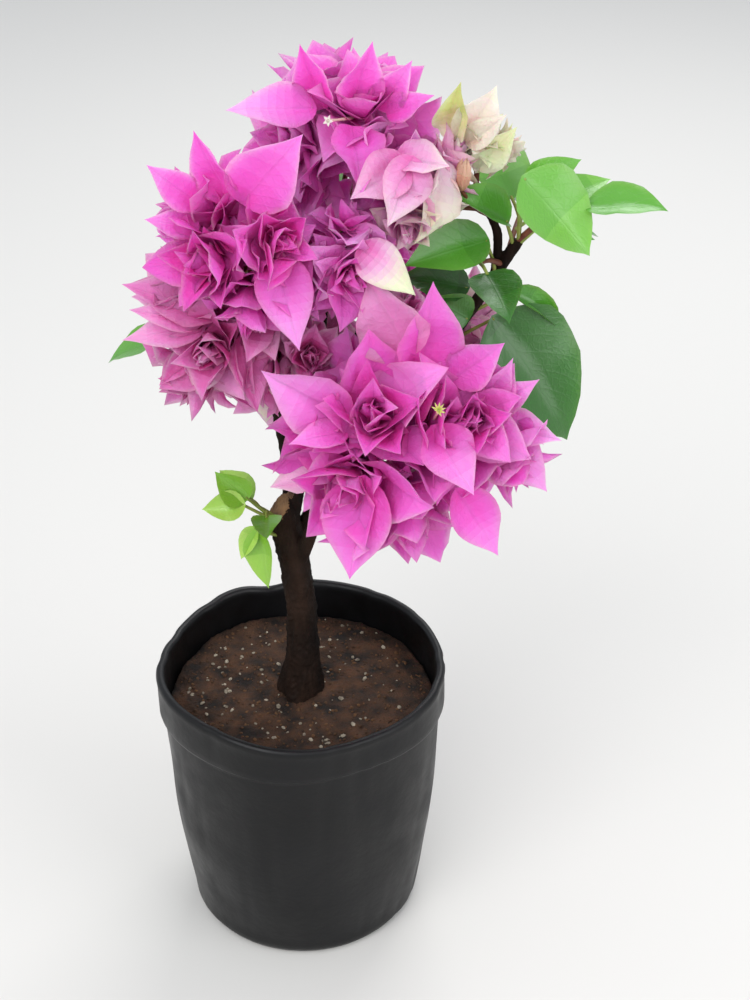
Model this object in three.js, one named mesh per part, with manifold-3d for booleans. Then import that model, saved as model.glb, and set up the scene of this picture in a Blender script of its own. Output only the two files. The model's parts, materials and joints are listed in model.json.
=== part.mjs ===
// A young double-flowered bougainvillea grown from a thick cutting, in a soft black nursery pot.
// Millimetres, +Z up, origin at the middle of the pot's flat underside, -Y towards the viewer.
import * as THREE from "three";
import { mergeVertices } from "three/addons/utils/BufferGeometryUtils.js";
import Module from "manifold-3d";

const wasm = await Module();
wasm.setup();
const { Manifold } = wasm;

// The pot: a folded cuff stands out round the top, and the rim rises and dips a little.
const POT = {
  height: 122,
  footRadius: 49,
  rimRadius: 58,
  belly: 2.2,
  wall: 1.8,
  cuffDepth: 17,
  cuffProud: 1.9,
  cuffStep: 0.6,
  footRound: 4,
  rimRound: 1.6,
  rimTaper: 0.4,
  outerRing: 0.4,
  innerRing: 0.55,
  sides: 34,
};

// The soft pot is out of round, and its rim rises and dips: each wave has a count, a size and a start.
const SOFTNESS = {
  round: [[3, 0.014, 0.6], [5, 0.01, 2]],
  roundFrom: 3,
  rim: [[2, 1.1, -1.17], [3, 0.8, 0.63]],
  rimFrom: 0.8,
  rimFull: 0.97,
  pleat: { turn: 1.83, width: 0.16, depth: 3.2 },
};

// The soil is mounded a little: it drops away from a level disc that the trunk stands on.
const SOIL = {
  belowRim: 17,
  moundRise: 2.5,
  standRadius: 12,
  shoulder: 0.55,
  shoulderDrop: 0.8,
  edgeInset: 3.5,
  edgeDrop: 1,
  gap: 0.6,
};
const GROUND = POT.height - SOIL.belowRim + SOIL.moundRise;

// Clearance between solids that touch on the real plant, and how finely round pieces are cut.
const GAP = 0.35;
const TRUNK_SIDES = 10;
const BOUGH_SIDES = 6;
const TWIG_SIDES = 3;
const TWIG_TAPER = 0.7;
const RINGS_PER_POINT = 1.5;
const GOLDEN_TURN = Math.PI * (3 - Math.sqrt(5));

// The trunk, from its flat cut at ground level to the slanting cut at its top, heights above ground.
const TRUNK = {
  line: [
    [-0.3, 0, -6],
    [0.2, 0, 8],
    [1, 0.4, 32],
    [-0.5, 0.8, 58],
    [-4, 1, 78],
    [-9.5, 1, 95],
  ],
  radii: [10.5, 6.8, 5.9, 5.8, 6.1, 5.7],
  rings: 13,
  flare: { count: 4, size: 0.12, start: 0.9, fade: 14 },
  bark: { count: 3, size: 0.045, twist: 5 },
  cutPoint: [-7, 1, 87],
  cutNormal: [-0.72, -0.25, 0.64],
};

// The side of the block that a cut takes away, larger than anything beyond it.
const SAWN_OFF = 80;

// Each bough starts on the middle line of its parent, a share of the way along it, and tapers to its tip.
const BOUGHS = [
  {
    name: "bough_right",
    parent: "trunk",
    share: 0.7,
    line: [[13, 12, 94], [34, 15, 122], [57, 9, 155], [73, 8, 180], [83, 6, 198]],
    radii: [3.7, 2.1],
  },
  {
    name: "bough_right_fork",
    parent: "bough_right",
    share: 0.9,
    line: [[75, 8, 202], [67, 8, 214]],
    radii: [1.8, 1.3],
  },
  {
    name: "bough_centre",
    parent: "trunk",
    share: 0.8,
    line: [[3, 7, 108], [8, 10, 142], [13, 13, 178], [17, 16, 206]],
    radii: [3.3, 1.7],
  },
  {
    name: "bough_left",
    parent: "bough_centre",
    share: 0.3,
    line: [[-6, 4, 132], [-14, -2, 162], [-18, -8, 190]],
    radii: [2.4, 1.5],
  },
  {
    name: "bough_left_low",
    parent: "bough_left",
    share: 0.42,
    line: [[-19, 6, 150], [-26, 5, 162]],
    radii: [1.8, 1.3],
  },
  {
    name: "bough_front",
    parent: "trunk",
    share: 0.63,
    line: [[9, -10, 90], [20, -21, 112], [30, -28, 131]],
    radii: [3, 1.8],
  },
  {
    name: "bough_front_right",
    parent: "bough_front",
    share: 0.55,
    line: [[38, -16, 118], [56, -19, 130]],
    radii: [2, 1.4],
  },
  {
    name: "bough_back",
    parent: "trunk",
    share: 0.67,
    line: [[-4, 17, 100], [-11, 31, 132], [-18, 38, 154]],
    radii: [3.1, 1.7],
  },
  {
    name: "bough_back_right",
    parent: "bough_back",
    share: 0.3,
    line: [[12, 36, 118], [26, 45, 144], [31, 49, 158]],
    radii: [2.4, 1.5],
  },
  {
    name: "bough_back_low",
    parent: "bough_back",
    share: 0.5,
    line: [[-10, 44, 116], [-10, 51, 122]],
    radii: [1.9, 1.4],
  },
];

// Each flower head: the bough that carries it, its middle above ground, the way it faces and its radius.
const HEADS = [
  {
    name: "bloom_top",
    bough: "bough_centre",
    share: 1,
    middle: [20, 10, 238],
    faces: [-0.1, -0.7, 0.7],
    radius: 40,
    rosettes: 4,
    finish: "bract_bright",
  },
  {
    name: "bloom_upper_right",
    bough: "bough_right_fork",
    share: 0.82,
    middle: [45, -6, 225],
    faces: [0.2, -0.8, 0.5],
    radius: 28,
    rosettes: 3,
    finish: "bract_faded",
  },
  {
    name: "bloom_young",
    bough: "bough_right_fork",
    share: 1,
    middle: [72, 14, 236],
    faces: [0.5, -0.4, 0.8],
    radius: 16,
    rosettes: 2,
    finish: "bract_young",
  },
  {
    name: "bloom_left",
    bough: "bough_left",
    share: 1,
    middle: [-18, -28, 212],
    faces: [-0.3, -0.85, 0.4],
    radius: 37,
    rosettes: 4,
    finish: "bract_bright",
  },
  {
    name: "bloom_centre",
    bough: "bough_centre",
    share: 0.7,
    middle: [18, -24, 206],
    faces: [0.25, -0.85, 0.45],
    radius: 28,
    rosettes: 3,
    finish: "bract_faded",
  },
  {
    name: "bloom_left_low",
    bough: "bough_left_low",
    share: 1,
    middle: [-32, -16, 172],
    faces: [-0.6, -0.75, 0.1],
    radius: 36,
    rosettes: 4,
    finish: "bract_faded",
  },
  {
    name: "bloom_inner",
    bough: "bough_centre",
    share: 0.42,
    middle: [2, -20, 160],
    faces: [-0.15, -0.95, 0.2],
    radius: 27,
    rosettes: 3,
    finish: "bract_faded",
  },
  {
    name: "bloom_front",
    bough: "bough_front",
    share: 1,
    middle: [32, -46, 144],
    faces: [-0.1, -0.9, 0.35],
    radius: 46,
    rosettes: 5,
    finish: "bract_bright",
  },
  {
    name: "bloom_front_right",
    bough: "bough_front_right",
    share: 1,
    middle: [72, -36, 146],
    faces: [0.5, -0.8, 0.2],
    radius: 38,
    rosettes: 3,
    finish: "bract_bright",
  },
  {
    name: "bloom_front_upper",
    bough: "bough_right",
    share: 0.5,
    middle: [48, -16, 170],
    faces: [0, -0.8, 0.6],
    radius: 27,
    rosettes: 3,
    finish: "bract_faded",
  },
  {
    name: "bloom_back_left",
    bough: "bough_back",
    share: 1,
    middle: [-26, 50, 178],
    faces: [-0.5, 0.8, 0.35],
    radius: 39,
    rosettes: 4,
    finish: "bract_bright",
  },
  {
    name: "bloom_back_right",
    bough: "bough_back_right",
    share: 1,
    middle: [36, 62, 174],
    faces: [0.25, 0.85, 0.45],
    radius: 39,
    rosettes: 4,
    finish: "bract_bright",
  },
  {
    name: "bloom_back_low",
    bough: "bough_back_low",
    share: 1,
    middle: [-6, 66, 130],
    faces: [-0.1, 0.95, -0.1],
    radius: 35,
    rosettes: 3,
    finish: "bract_faded",
  },
  {
    name: "bloom_right_back",
    bough: "bough_right",
    share: 0.62,
    middle: [70, 42, 144],
    faces: [0.5, 0.85, 0.15],
    radius: 33,
    rosettes: 3,
    finish: "bract_faded",
  },
];

// Each spray of leaves: where it leaves its bough, its stem's tip, and its leaves' number, length and droop.
const SPRAYS = [
  {
    name: "leaves_right_top",
    bough: "bough_right",
    share: 1,
    tip: [100, -2, 214],
    leaves: 6,
    length: 36,
    droop: 0.15,
    finish: "leaf",
  },
  {
    name: "leaves_right_low",
    bough: "bough_right",
    share: 0.76,
    tip: [88, 2, 164],
    leaves: 4,
    length: 56,
    droop: 0.8,
    finish: "leaf",
  },
  {
    name: "leaves_middle",
    bough: "bough_right",
    share: 0.93,
    tip: [66, -8, 194],
    leaves: 4,
    length: 38,
    droop: 0.2,
    finish: "leaf",
  },
  {
    name: "leaves_right_back",
    bough: "bough_right",
    share: 0.95,
    tip: [88, 40, 198],
    leaves: 5,
    length: 38,
    droop: 0.2,
    finish: "leaf",
  },
  {
    name: "leaves_back_top",
    bough: "bough_centre",
    share: 0.85,
    tip: [30, 54, 218],
    leaves: 5,
    length: 38,
    droop: 0.15,
    finish: "leaf",
  },
  {
    name: "leaves_back",
    bough: "bough_back",
    share: 0.8,
    tip: [2, 80, 176],
    leaves: 5,
    length: 38,
    droop: 0.4,
    finish: "leaf",
  },
  {
    name: "leaves_left_back",
    bough: "bough_left_low",
    share: 0.5,
    tip: [-48, 26, 150],
    leaves: 4,
    length: 36,
    droop: 0.3,
    finish: "leaf",
  },
  {
    name: "leaves_foot_shoot",
    bough: "trunk",
    share: 0.84,
    tip: [-24, -5, 96],
    leaves: 5,
    length: 22,
    droop: 0.5,
    finish: "leaf_young",
  },
];

// How rosettes stand in a head: the angle that they spread over, and shares of the head's radius.
const BLOOM = {
  seed: 1,
  headSpread: 74,
  firstSpread: 0.4,
  hubDepth: 0.5,
  footstalk: 0.44,
  footDepth: 1,
  stemRadius: 1.1,
  stemBow: [0, 0, -2],
  stalkRadius: 0.8,
};

// A rosette's whorls, lowest first: tilt from the axis, share of the longest bract, lift and claw radius.
const WHORLS = [
  { tilt: 102, length: 1, lift: -3.4, claw: 2 },
  { tilt: 74, length: 0.95, lift: -1.2, claw: 1.4 },
  { tilt: 47, length: 0.8, lift: 1, claw: 0.98 },
  { tilt: 20, length: 0.56, lift: 3.2, claw: 0.68 },
];
const BRACT = {
  perWhorl: 4,
  longest: 0.8,
  widest: 0.42,
  width: 0.66,
  narrowed: 0.9,
  curl: 0.06,
  fold: 0.22,
  clawHalf: 0.75,
  tiltJitter: 0.1,
  lengthJitter: 0.12,
  curlJitter: 0.12,
};

// A spray's leaves: the first one's place on the stem, tilt from it, stalk, and shape as shares of length.
const LEAF = {
  seed: 31,
  first: 0.42,
  last: 0.97,
  tilt: 58,
  tiltJitter: 14,
  tipTilt: 14,
  tipLength: 0.75,
  shorter: 0.06,
  lengthJitter: 0.12,
  upper: [0, -0.35, 1],
  width: 0.66,
  curl: -0.16,
  fold: 0.22,
  stalk: 0.2,
  rootDepth: 2.5,
  stemRadius: 1.1,
  stemBow: [0, 0, 2],
  stalkRadius: 0.7,
  cellPlace: 0.85,
  cellReach: 0.85,
};
const BLADE_THICKNESS = 0.016;
const SHRINK_STEPS = [1, 0.86, 0.74, 0.62, 0.5, 0.38];

// Where a leaf's rings lie along it and how wide they are, as shares of its length and half width.
const LEAF_RINGS = [[0.3, 0.98], [0.66, 0.84]];

const FINISHES = {
  pot: { color: 0x16171a, roughness: 0.45, metalness: 0 },
  soil: { color: 0x3b2a20, roughness: 0.95, metalness: 0 },
  bark: { color: 0x3d2a22, roughness: 0.85, metalness: 0 },
  bract_bright: { color: 0xe04bb4, roughness: 0.6, metalness: 0 },
  bract_faded: { color: 0xd988a8, roughness: 0.6, metalness: 0 },
  bract_young: { color: 0xdfd6b0, roughness: 0.6, metalness: 0 },
  leaf: { color: 0x3f7a2c, roughness: 0.35, metalness: 0 },
  leaf_young: { color: 0x86b83a, roughness: 0.4, metalness: 0 },
};
const finishes = Object.fromEntries(
  Object.entries(FINISHES).map(([name, look]) => [name, new THREE.MeshStandardMaterial({ name, ...look })]),
);

const vec = ([x, y, z]) => new THREE.Vector3(x, y, z);
const aboveGround = ([x, y, z]) => new THREE.Vector3(x, y, z + GROUND);
const along = (from, way, distance) => from.clone().addScaledVector(way, distance);

// A fixed pseudo-random share from 0 to 1 for each pair of numbers.
function chance(seed, count) {
  const spun = Math.sin(seed * 127.1 + count * 311.7 + 74.7) * 43758.5453;
  return spun - Math.floor(spun);
}

const jitter = (seed, count, size) => (chance(seed, count) - 0.5) * 2 * size;

// A direction at an angle from an axis, turned about it, and the frame that this is measured in.
function sideOf(axis) {
  const helper = Math.abs(axis.z) < 0.9 ? new THREE.Vector3(0, 0, 1) : new THREE.Vector3(1, 0, 0);
  return new THREE.Vector3().crossVectors(helper, axis).normalize();
}

function leaning(axis, tilt, turn) {
  const side = sideOf(axis);
  const other = new THREE.Vector3().crossVectors(axis, side);
  return axis.clone().multiplyScalar(Math.cos(tilt))
    .addScaledVector(side, Math.sin(tilt) * Math.cos(turn))
    .addScaledVector(other, Math.sin(tilt) * Math.sin(turn))
    .normalize();
}

function geometryOf(corners, triangles) {
  const geometry = new THREE.BufferGeometry();
  const places = new Float32Array(corners.flatMap((p) => [p.x, p.y, p.z]));
  geometry.setAttribute("position", new THREE.BufferAttribute(places, 3));
  geometry.setIndex(triangles.flat());
  return geometry;
}

// A closed mesh as a solid, and a solid as a mesh again.
function solidOf(geometry) {
  const bare = geometry.clone();
  bare.deleteAttribute("normal");
  bare.deleteAttribute("uv");
  const merged = mergeVertices(bare, 1e-3);
  const vertProperties = new Float32Array(merged.attributes.position.array);
  const triVerts = new Uint32Array(merged.index.array);
  return new Manifold(new wasm.Mesh({ numProp: 3, vertProperties, triVerts }));
}

function meshOf(name, solid, finish) {
  const { vertProperties, numProp, numVert, triVerts } = solid.getMesh();
  const places = new Float32Array(numVert * 3);
  for (let i = 0; i < numVert; i++) {
    places.set(vertProperties.subarray(i * numProp, i * numProp + 3), i * 3);
  }
  const geometry = new THREE.BufferGeometry();
  geometry.setAttribute("position", new THREE.BufferAttribute(places, 3));
  geometry.setIndex(new THREE.BufferAttribute(new Uint32Array(triVerts), 1));
  const mesh = new THREE.Mesh(geometry, finishes[finish]);
  mesh.name = name;
  return mesh;
}

const joined = (solids) => solids.reduce((whole, next) => whole.add(next));

// The largest body of a solid: loose scraps are dropped and sealed hollows are filled.
function mainBody(solid) {
  return solid.decompose().reduce((best, body) => (body.volume() > best.volume() ? body : best));
}

// A tapering limb along a line of points, with flat ends. Its radii are spread evenly along it.
class Limb {
  constructor(points, radii, sides, rings, lobes = () => 1) {
    this.curve = new THREE.CatmullRomCurve3(points, false, "centripetal");
    this.radii = radii;
    this.sides = sides;
    this.rings = rings;
    this.lobes = lobes;
  }

  radiusAt(share) {
    const place = share * (this.radii.length - 1);
    const step = Math.min(Math.floor(place), this.radii.length - 2);
    return THREE.MathUtils.lerp(this.radii[step], this.radii[step + 1], place - step);
  }

  // The limb as a solid, swollen by a margin on every side and at both ends.
  solid(margin = 0) {
    const frames = this.curve.computeFrenetFrames(this.rings, false);
    const corners = [];
    for (let i = 0; i <= this.rings; i++) {
      const share = i / this.rings;
      const end = (i === this.rings ? margin : 0) - (i === 0 ? margin : 0);
      const middle = along(this.curve.getPointAt(share), frames.tangents[i], end);
      for (let k = 0; k < this.sides; k++) {
        const turn = (2 * Math.PI * k) / this.sides;
        const radius = this.radiusAt(share) * this.lobes(turn, share) + margin;
        const corner = along(middle, frames.normals[i], radius * Math.cos(turn));
        corners.push(along(corner, frames.binormals[i], radius * Math.sin(turn)));
      }
    }
    return solidOf(geometryOf(corners, this.skin()));
  }

  skin() {
    const triangles = [];
    const corner = (ring, k) => ring * this.sides + (k % this.sides);
    for (let i = 0; i < this.rings; i++) {
      for (let k = 0; k < this.sides; k++) {
        triangles.push([corner(i, k), corner(i, k + 1), corner(i + 1, k + 1)]);
        triangles.push([corner(i, k), corner(i + 1, k + 1), corner(i + 1, k)]);
      }
    }
    for (let k = 1; k < this.sides - 1; k++) {
      triangles.push([corner(0, 0), corner(0, k + 1), corner(0, k)]);
      triangles.push([corner(this.rings, 0), corner(this.rings, k), corner(this.rings, k + 1)]);
    }
    return triangles;
  }
}

// A leaf or bract: a spine that curls up or down, and folded sides that rise from it.
class Blade {
  constructor(base, way, upper, { length, width, curl, fold }) {
    this.base = base;
    this.way = way;
    this.normal = along(upper, way, -upper.dot(way)).normalize();
    this.across = new THREE.Vector3().crossVectors(way, this.normal);
    this.length = length;
    this.halfWidth = (width * length) / 2;
    this.curl = curl;
    this.fold = fold;
  }

  spine(share) {
    const rise = this.curl * this.length * share * share;
    return along(along(this.base, this.way, share * this.length), this.normal, rise);
  }

  // The corners of a ring across the blade, a share of the way along it: left, top, right and bottom.
  ring(share, reach) {
    const half = reach * this.halfWidth;
    const thick = (BLADE_THICKNESS * this.length) / 2;
    const middle = this.spine(share);
    const edge = along(middle, this.normal, this.fold * half);
    return [
      along(edge, this.across, -half),
      along(middle, this.normal, thick),
      along(edge, this.across, half),
      along(middle, this.normal, -thick),
    ];
  }

  // A ring with no top corner: the blade is level between its edges there and keeled underneath.
  ridge(share) {
    const [left, , right] = this.ring(share, 1);
    const thick = BLADE_THICKNESS * this.length;
    return [left, along(this.spine(share), this.normal, -thick), right];
  }

  // The blade by itself: a base point, its rings and a tip.
  geometry(rings) {
    const ringCorners = rings.flatMap(([share, reach]) => this.ring(share, reach));
    const corners = [this.base.clone(), ...ringCorners, this.spine(1)];
    const triangles = [];
    const corner = (ring, k) => 1 + ring * 4 + (k % 4);
    const tip = corners.length - 1;
    for (let k = 0; k < 4; k++) {
      triangles.push([0, corner(0, k + 1), corner(0, k)]);
      triangles.push([tip, corner(rings.length - 1, k), corner(rings.length - 1, k + 1)]);
      for (let i = 0; i + 1 < rings.length; i++) {
        triangles.push([corner(i, k), corner(i + 1, k + 1), corner(i + 1, k)]);
        triangles.push([corner(i, k), corner(i, k + 1), corner(i + 1, k + 1)]);
      }
    }
    return geometryOf(corners, triangles);
  }
}

// A rosette as one closed skin: a stalk that rises through its whorls, with a bract on each of its sides.
function rosetteGeometry(foot, centre, axis, turn, whorls) {
  const sides = BRACT.perWhorl;
  const step = (2 * Math.PI) / sides;
  const corners = [];
  const triangles = [];
  const addRing = (middle, radius, start) => {
    const first = corners.length;
    for (let k = 0; k < sides; k++) {
      corners.push(along(middle, leaning(axis, Math.PI / 2, start + (k - 0.5) * step), radius));
    }
    return (k) => first + (k % sides);
  };
  const addSide = (low, high, k) => {
    triangles.push([low(k), low(k + 1), high(k + 1)], [low(k), high(k + 1), high(k)]);
  };

  let below = addRing(foot, BLOOM.stalkRadius, turn);
  for (let k = 1; k < sides - 1; k++) {
    triangles.push([below(0), below(k + 1), below(k)]);
  }
  whorls.forEach(({ lift, claw, start, bracts }) => {
    const low = addRing(along(centre, axis, lift - BRACT.clawHalf), claw, start);
    const high = addRing(along(centre, axis, lift + BRACT.clawHalf), claw, start);
    bracts.forEach((bract, k) => {
      addSide(below, low, k);
      if (!bract) {
        addSide(low, high, k);
        return;
      }
      const left = corners.length;
      const [lower, right, tip] = [left + 1, left + 2, left + 3];
      corners.push(...bract.ridge(BRACT.widest), bract.spine(1));
      triangles.push([high(k), right, left], [high(k), left, high(k + 1)], [right, tip, left]);
      triangles.push([low(k), lower, right], [low(k), low(k + 1), lower], [low(k + 1), left, lower]);
      triangles.push([low(k), right, high(k)], [low(k + 1), high(k + 1), left]);
      triangles.push([right, lower, tip], [lower, left, tip]);
    });
    below = high;
  });
  for (let k = 1; k < sides - 1; k++) {
    triangles.push([below(0), below(k), below(k + 1)]);
  }
  return geometryOf(corners, triangles);
}

// A turned piece bent out of round, and its top raised and dipped where the rim does that.
function softened(geometry, rimFollows) {
  const places = geometry.attributes.position;
  const waves = (list, turn) => (
    list.reduce((sum, [count, size, start]) => sum + size * Math.cos(count * turn + start), 0)
  );
  for (let i = 0; i < places.count; i++) {
    const [x, y, z] = [places.getX(i), places.getY(i), places.getZ(i)];
    const turn = Math.atan2(y, x);
    const up = z / POT.height;
    const round = 1 + waves(SOFTNESS.round, turn) * Math.min(1, up * SOFTNESS.roundFrom);
    const { turn: pleatTurn, width, depth } = SOFTNESS.pleat;
    const pleat = depth * Math.exp(-(((turn - pleatTurn) / width) ** 2));
    const raised = THREE.MathUtils.smoothstep(up, SOFTNESS.rimFrom, SOFTNESS.rimFull);
    const lift = (waves(SOFTNESS.rim, turn) - pleat) * raised;
    places.setXYZ(i, x * round, y * round, rimFollows ? z + lift : z);
  }
  return geometry;
}

function turned(profile, rimFollows) {
  const outline = profile.map(([radius, height]) => new THREE.Vector2(radius, height));
  return softened(new THREE.LatheGeometry(outline, POT.sides).rotateX(Math.PI / 2), rimFollows);
}

const potRadius = (z) => {
  const up = z / POT.height;
  return THREE.MathUtils.lerp(POT.footRadius, POT.rimRadius, up) + POT.belly * Math.sin(Math.PI * up);
};

function pot() {
  const { height, footRadius, wall, cuffDepth, cuffProud, footRound, rimRound } = POT;
  const cuffFoot = height - cuffDepth;
  const inside = (z) => [potRadius(z) - wall, z];
  const profile = [
    [0, 0],
    [footRadius - footRound, 0],
    [potRadius(footRound), footRound],
    [potRadius(height * POT.outerRing), height * POT.outerRing],
    [potRadius(cuffFoot), cuffFoot],
    [potRadius(cuffFoot) + cuffProud, cuffFoot + POT.cuffStep],
    [potRadius(height) + cuffProud, height - rimRound],
    [potRadius(height) + cuffProud * POT.rimTaper, height],
    [potRadius(height) - wall / 2, height],
    inside(height - rimRound),
    inside(height * POT.innerRing),
    inside(footRound + wall),
    [footRadius - footRound - wall, wall],
    [0, wall],
  ];
  return solidOf(turned(profile, true));
}

function soil() {
  const { height, footRadius, wall, footRound } = POT;
  const edge = height - SOIL.belowRim;
  const inside = (z) => [potRadius(z) - wall - SOIL.gap, z];
  const profile = [
    [0, wall + SOIL.gap],
    [footRadius - footRound - wall - SOIL.gap, wall + SOIL.gap],
    inside(footRound + wall + SOIL.gap),
    inside(height * POT.innerRing),
    inside(edge - SOIL.edgeDrop),
    [potRadius(edge) - wall - SOIL.edgeInset, edge],
    [potRadius(edge) * SOIL.shoulder, GROUND - GAP - SOIL.shoulderDrop],
    [SOIL.standRadius, GROUND - GAP],
    [0, GROUND - GAP],
  ];
  return solidOf(turned(profile, false));
}

// The trunk with its root flare, whose lobes fade upwards, and the shallow ribs of its bark.
function trunkLimb() {
  const { flare, bark } = TRUNK;
  const lobes = (turn, share) => {
    const lobe = flare.size * Math.cos(flare.count * turn + flare.start) * Math.exp(-share * flare.fade);
    return 1 + lobe + bark.size * Math.cos(bark.count * turn + share * bark.twist);
  };
  return new Limb(TRUNK.line.map(aboveGround), TRUNK.radii, TRUNK_SIDES, TRUNK.rings, lobes);
}

// What is left of a solid once everything beyond a plane is sawn off.
function sawn(solid, point, normal) {
  const size = SAWN_OFF;
  const face = new THREE.Object3D();
  face.position.copy(point);
  face.lookAt(along(point, normal, 1));
  face.translateZ(size / 2);
  face.updateMatrixWorld();
  return solid.subtract(solidOf(new THREE.BoxGeometry(size, size, size).applyMatrix4(face.matrixWorld)));
}

// The trunk's foot is cut level at the ground, and its top is sawn off at a slant.
function trunk(limb, margin = 0) {
  const slant = vec(TRUNK.cutNormal).normalize();
  const topped = sawn(limb.solid(margin), along(aboveGround(TRUNK.cutPoint), slant, margin), slant);
  return mainBody(sawn(topped, new THREE.Vector3(0, 0, GROUND - margin), new THREE.Vector3(0, 0, -1)));
}

function boughLimb(spec, parent) {
  const start = parent.curve.getPointAt(spec.share);
  const points = [start, ...spec.line.map(aboveGround)];
  return new Limb(points, spec.radii, BOUGH_SIDES, Math.ceil(RINGS_PER_POINT * points.length));
}

// A thin three-sided stem or stalk between two points, bowed to one side.
function stemLimb(from, to, radius, bow, rings = 4) {
  const middle = from.clone().lerp(to, 0.5).add(bow);
  return new Limb([from, middle, to], [radius, radius * TWIG_TAPER], TWIG_SIDES, rings);
}

// Every mass keeps to its own cell: the side nearer to its middle of each plane between two masses.
function roomFor(mass, masses) {
  const planes = masses.filter((other) => other !== mass).map((other) => {
    const normal = mass.middle.clone().sub(other.middle);
    const apart = normal.length();
    normal.divideScalar(apart);
    const share = 0.5 + (other.radius ** 2 - mass.radius ** 2) / (2 * apart * apart);
    const border = other.middle.clone().lerp(mass.middle, share);
    return new THREE.Plane().setFromNormalAndCoplanarPoint(normal, border);
  });
  return (point) => planes.every((plane) => plane.distanceToPoint(point) > GAP);
}

function isInside(geometry, room) {
  const places = geometry.attributes.position;
  const point = new THREE.Vector3();
  for (let i = 0; i < places.count; i++) {
    if (!room(point.fromBufferAttribute(places, i))) {
      return false;
    }
  }
  return true;
}

// The largest of a few sizes of a blade that stays in its room and crosses no limb there, or nothing.
function fitted(make, rings, room, limbs) {
  for (const share of SHRINK_STEPS) {
    const blade = make(share);
    const geometry = blade.geometry(rings);
    if (isInside(geometry, room)) {
      const solid = solidOf(geometry);
      if (solid.intersect(limbs).isEmpty()) {
        return { blade, solid };
      }
    }
  }
  return null;
}

// A bract's width as a share of its length: steep ones are narrowed, so that each keeps to its own sector.
function bractWidth(tilt, curl, step) {
  const sector = BRACT.narrowed * Math.tan(step / 2);
  const reach = BRACT.widest * Math.sin(tilt) - curl * BRACT.widest ** 2 * Math.cos(tilt);
  return Math.min(BRACT.width, (2 * sector * reach) / (1 + sector * BRACT.fold * Math.cos(tilt)));
}

// A rosette's whorls of bracts, wider and further from its axis downwards, less those that find no room.
function rosette(mass, foot, centre, axis, count, room, limbs) {
  const step = (2 * Math.PI) / BRACT.perWhorl;
  const turn = count * GOLDEN_TURN;
  const whorls = WHORLS.map((whorl, w) => {
    const middle = along(centre, axis, whorl.lift);
    const start = turn + (w * step) / 2;
    const bracts = Array.from({ length: BRACT.perWhorl }, (_, k) => {
      const draw = (count * WHORLS.length + w) * BRACT.perWhorl + k;
      const tilt = THREE.MathUtils.degToRad(whorl.tilt) + jitter(mass.seed, draw, BRACT.tiltJitter);
      const way = leaning(axis, tilt, start + step * k);
      const longest = mass.radius * BRACT.longest * whorl.length;
      const length = longest * (1 + jitter(mass.seed + 1, draw, BRACT.lengthJitter));
      const curl = BRACT.curl + jitter(mass.seed + 2, draw, BRACT.curlJitter);
      const shape = { width: bractWidth(tilt, curl, step), curl, fold: BRACT.fold };
      const make = (size) => new Blade(middle, way, axis, { ...shape, length: length * size });
      const fit = fitted(make, [[BRACT.widest, 1]], room, limbs);
      return fit && fit.blade;
    });
    return { ...whorl, start, bracts };
  });
  return solidOf(rosetteGeometry(foot, centre, axis, turn, whorls));
}

// A head of rosettes on stalks that spread from the end of its stem, each in its own share of the room.
function bloomSolids(mass, room, limbs) {
  const axes = Array.from({ length: mass.rosettes }, (_, k) => {
    const share = Math.sqrt((k + BLOOM.firstSpread) / mass.rosettes);
    const spread = THREE.MathUtils.degToRad(BLOOM.headSpread) * share;
    return leaning(mass.facing, spread, k * GOLDEN_TURN + mass.seed);
  });
  const centres = axes.map((axis) => along(mass.hub, axis, BLOOM.footstalk * mass.radius));
  return axes.flatMap((axis, k) => {
    if (!room(centres[k])) {
      return [];
    }
    const nearest = (point) => centres.every(
      (other, m) => m === k || point.distanceTo(centres[k]) < point.distanceTo(other) - GAP,
    );
    const foot = along(mass.hub, axis, -BLOOM.footDepth);
    return rosette(mass, foot, centres[k], axis, k, (point) => room(point) && nearest(point), limbs);
  });
}

// A spray of leaves on short stalks along a stem, the last one at its tip.
function spraySolids(mass, room, limbs) {
  const parts = [];
  const blades = [];
  const upper = vec(LEAF.upper);
  for (let i = 0; i < mass.leaves; i++) {
    const share = THREE.MathUtils.lerp(LEAF.first, LEAF.last, i / (mass.leaves - 1));
    const from = mass.stem.curve.getPointAt(share);
    const last = i === mass.leaves - 1;
    const tilt = last ? LEAF.tipTilt : LEAF.tilt + jitter(mass.seed, i, LEAF.tiltJitter);
    const tangent = mass.stem.curve.getTangentAt(share);
    const way = leaning(tangent, THREE.MathUtils.degToRad(tilt), i * GOLDEN_TURN + mass.seed);
    way.z -= mass.droop;
    way.normalize();
    const shrink = last ? LEAF.tipLength : 1 - LEAF.shorter * i;
    const length = mass.length * shrink * (1 + jitter(mass.seed + 1, i, LEAF.lengthJitter));
    const base = along(from, way, LEAF.stalk * length);
    const make = (size) => new Blade(base, way, upper, { ...LEAF, length: length * size });
    const fit = fitted(make, LEAF_RINGS, room, limbs);
    if (fit && blades.every((other) => fit.solid.intersect(other).isEmpty())) {
      const sunk = along(base, way, LEAF.rootDepth);
      const stalk = stemLimb(from, sunk, LEAF.stalkRadius, new THREE.Vector3(), 1);
      blades.push(fit.solid);
      parts.push(fit.solid, stalk.solid());
    }
  }
  return parts;
}

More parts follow.
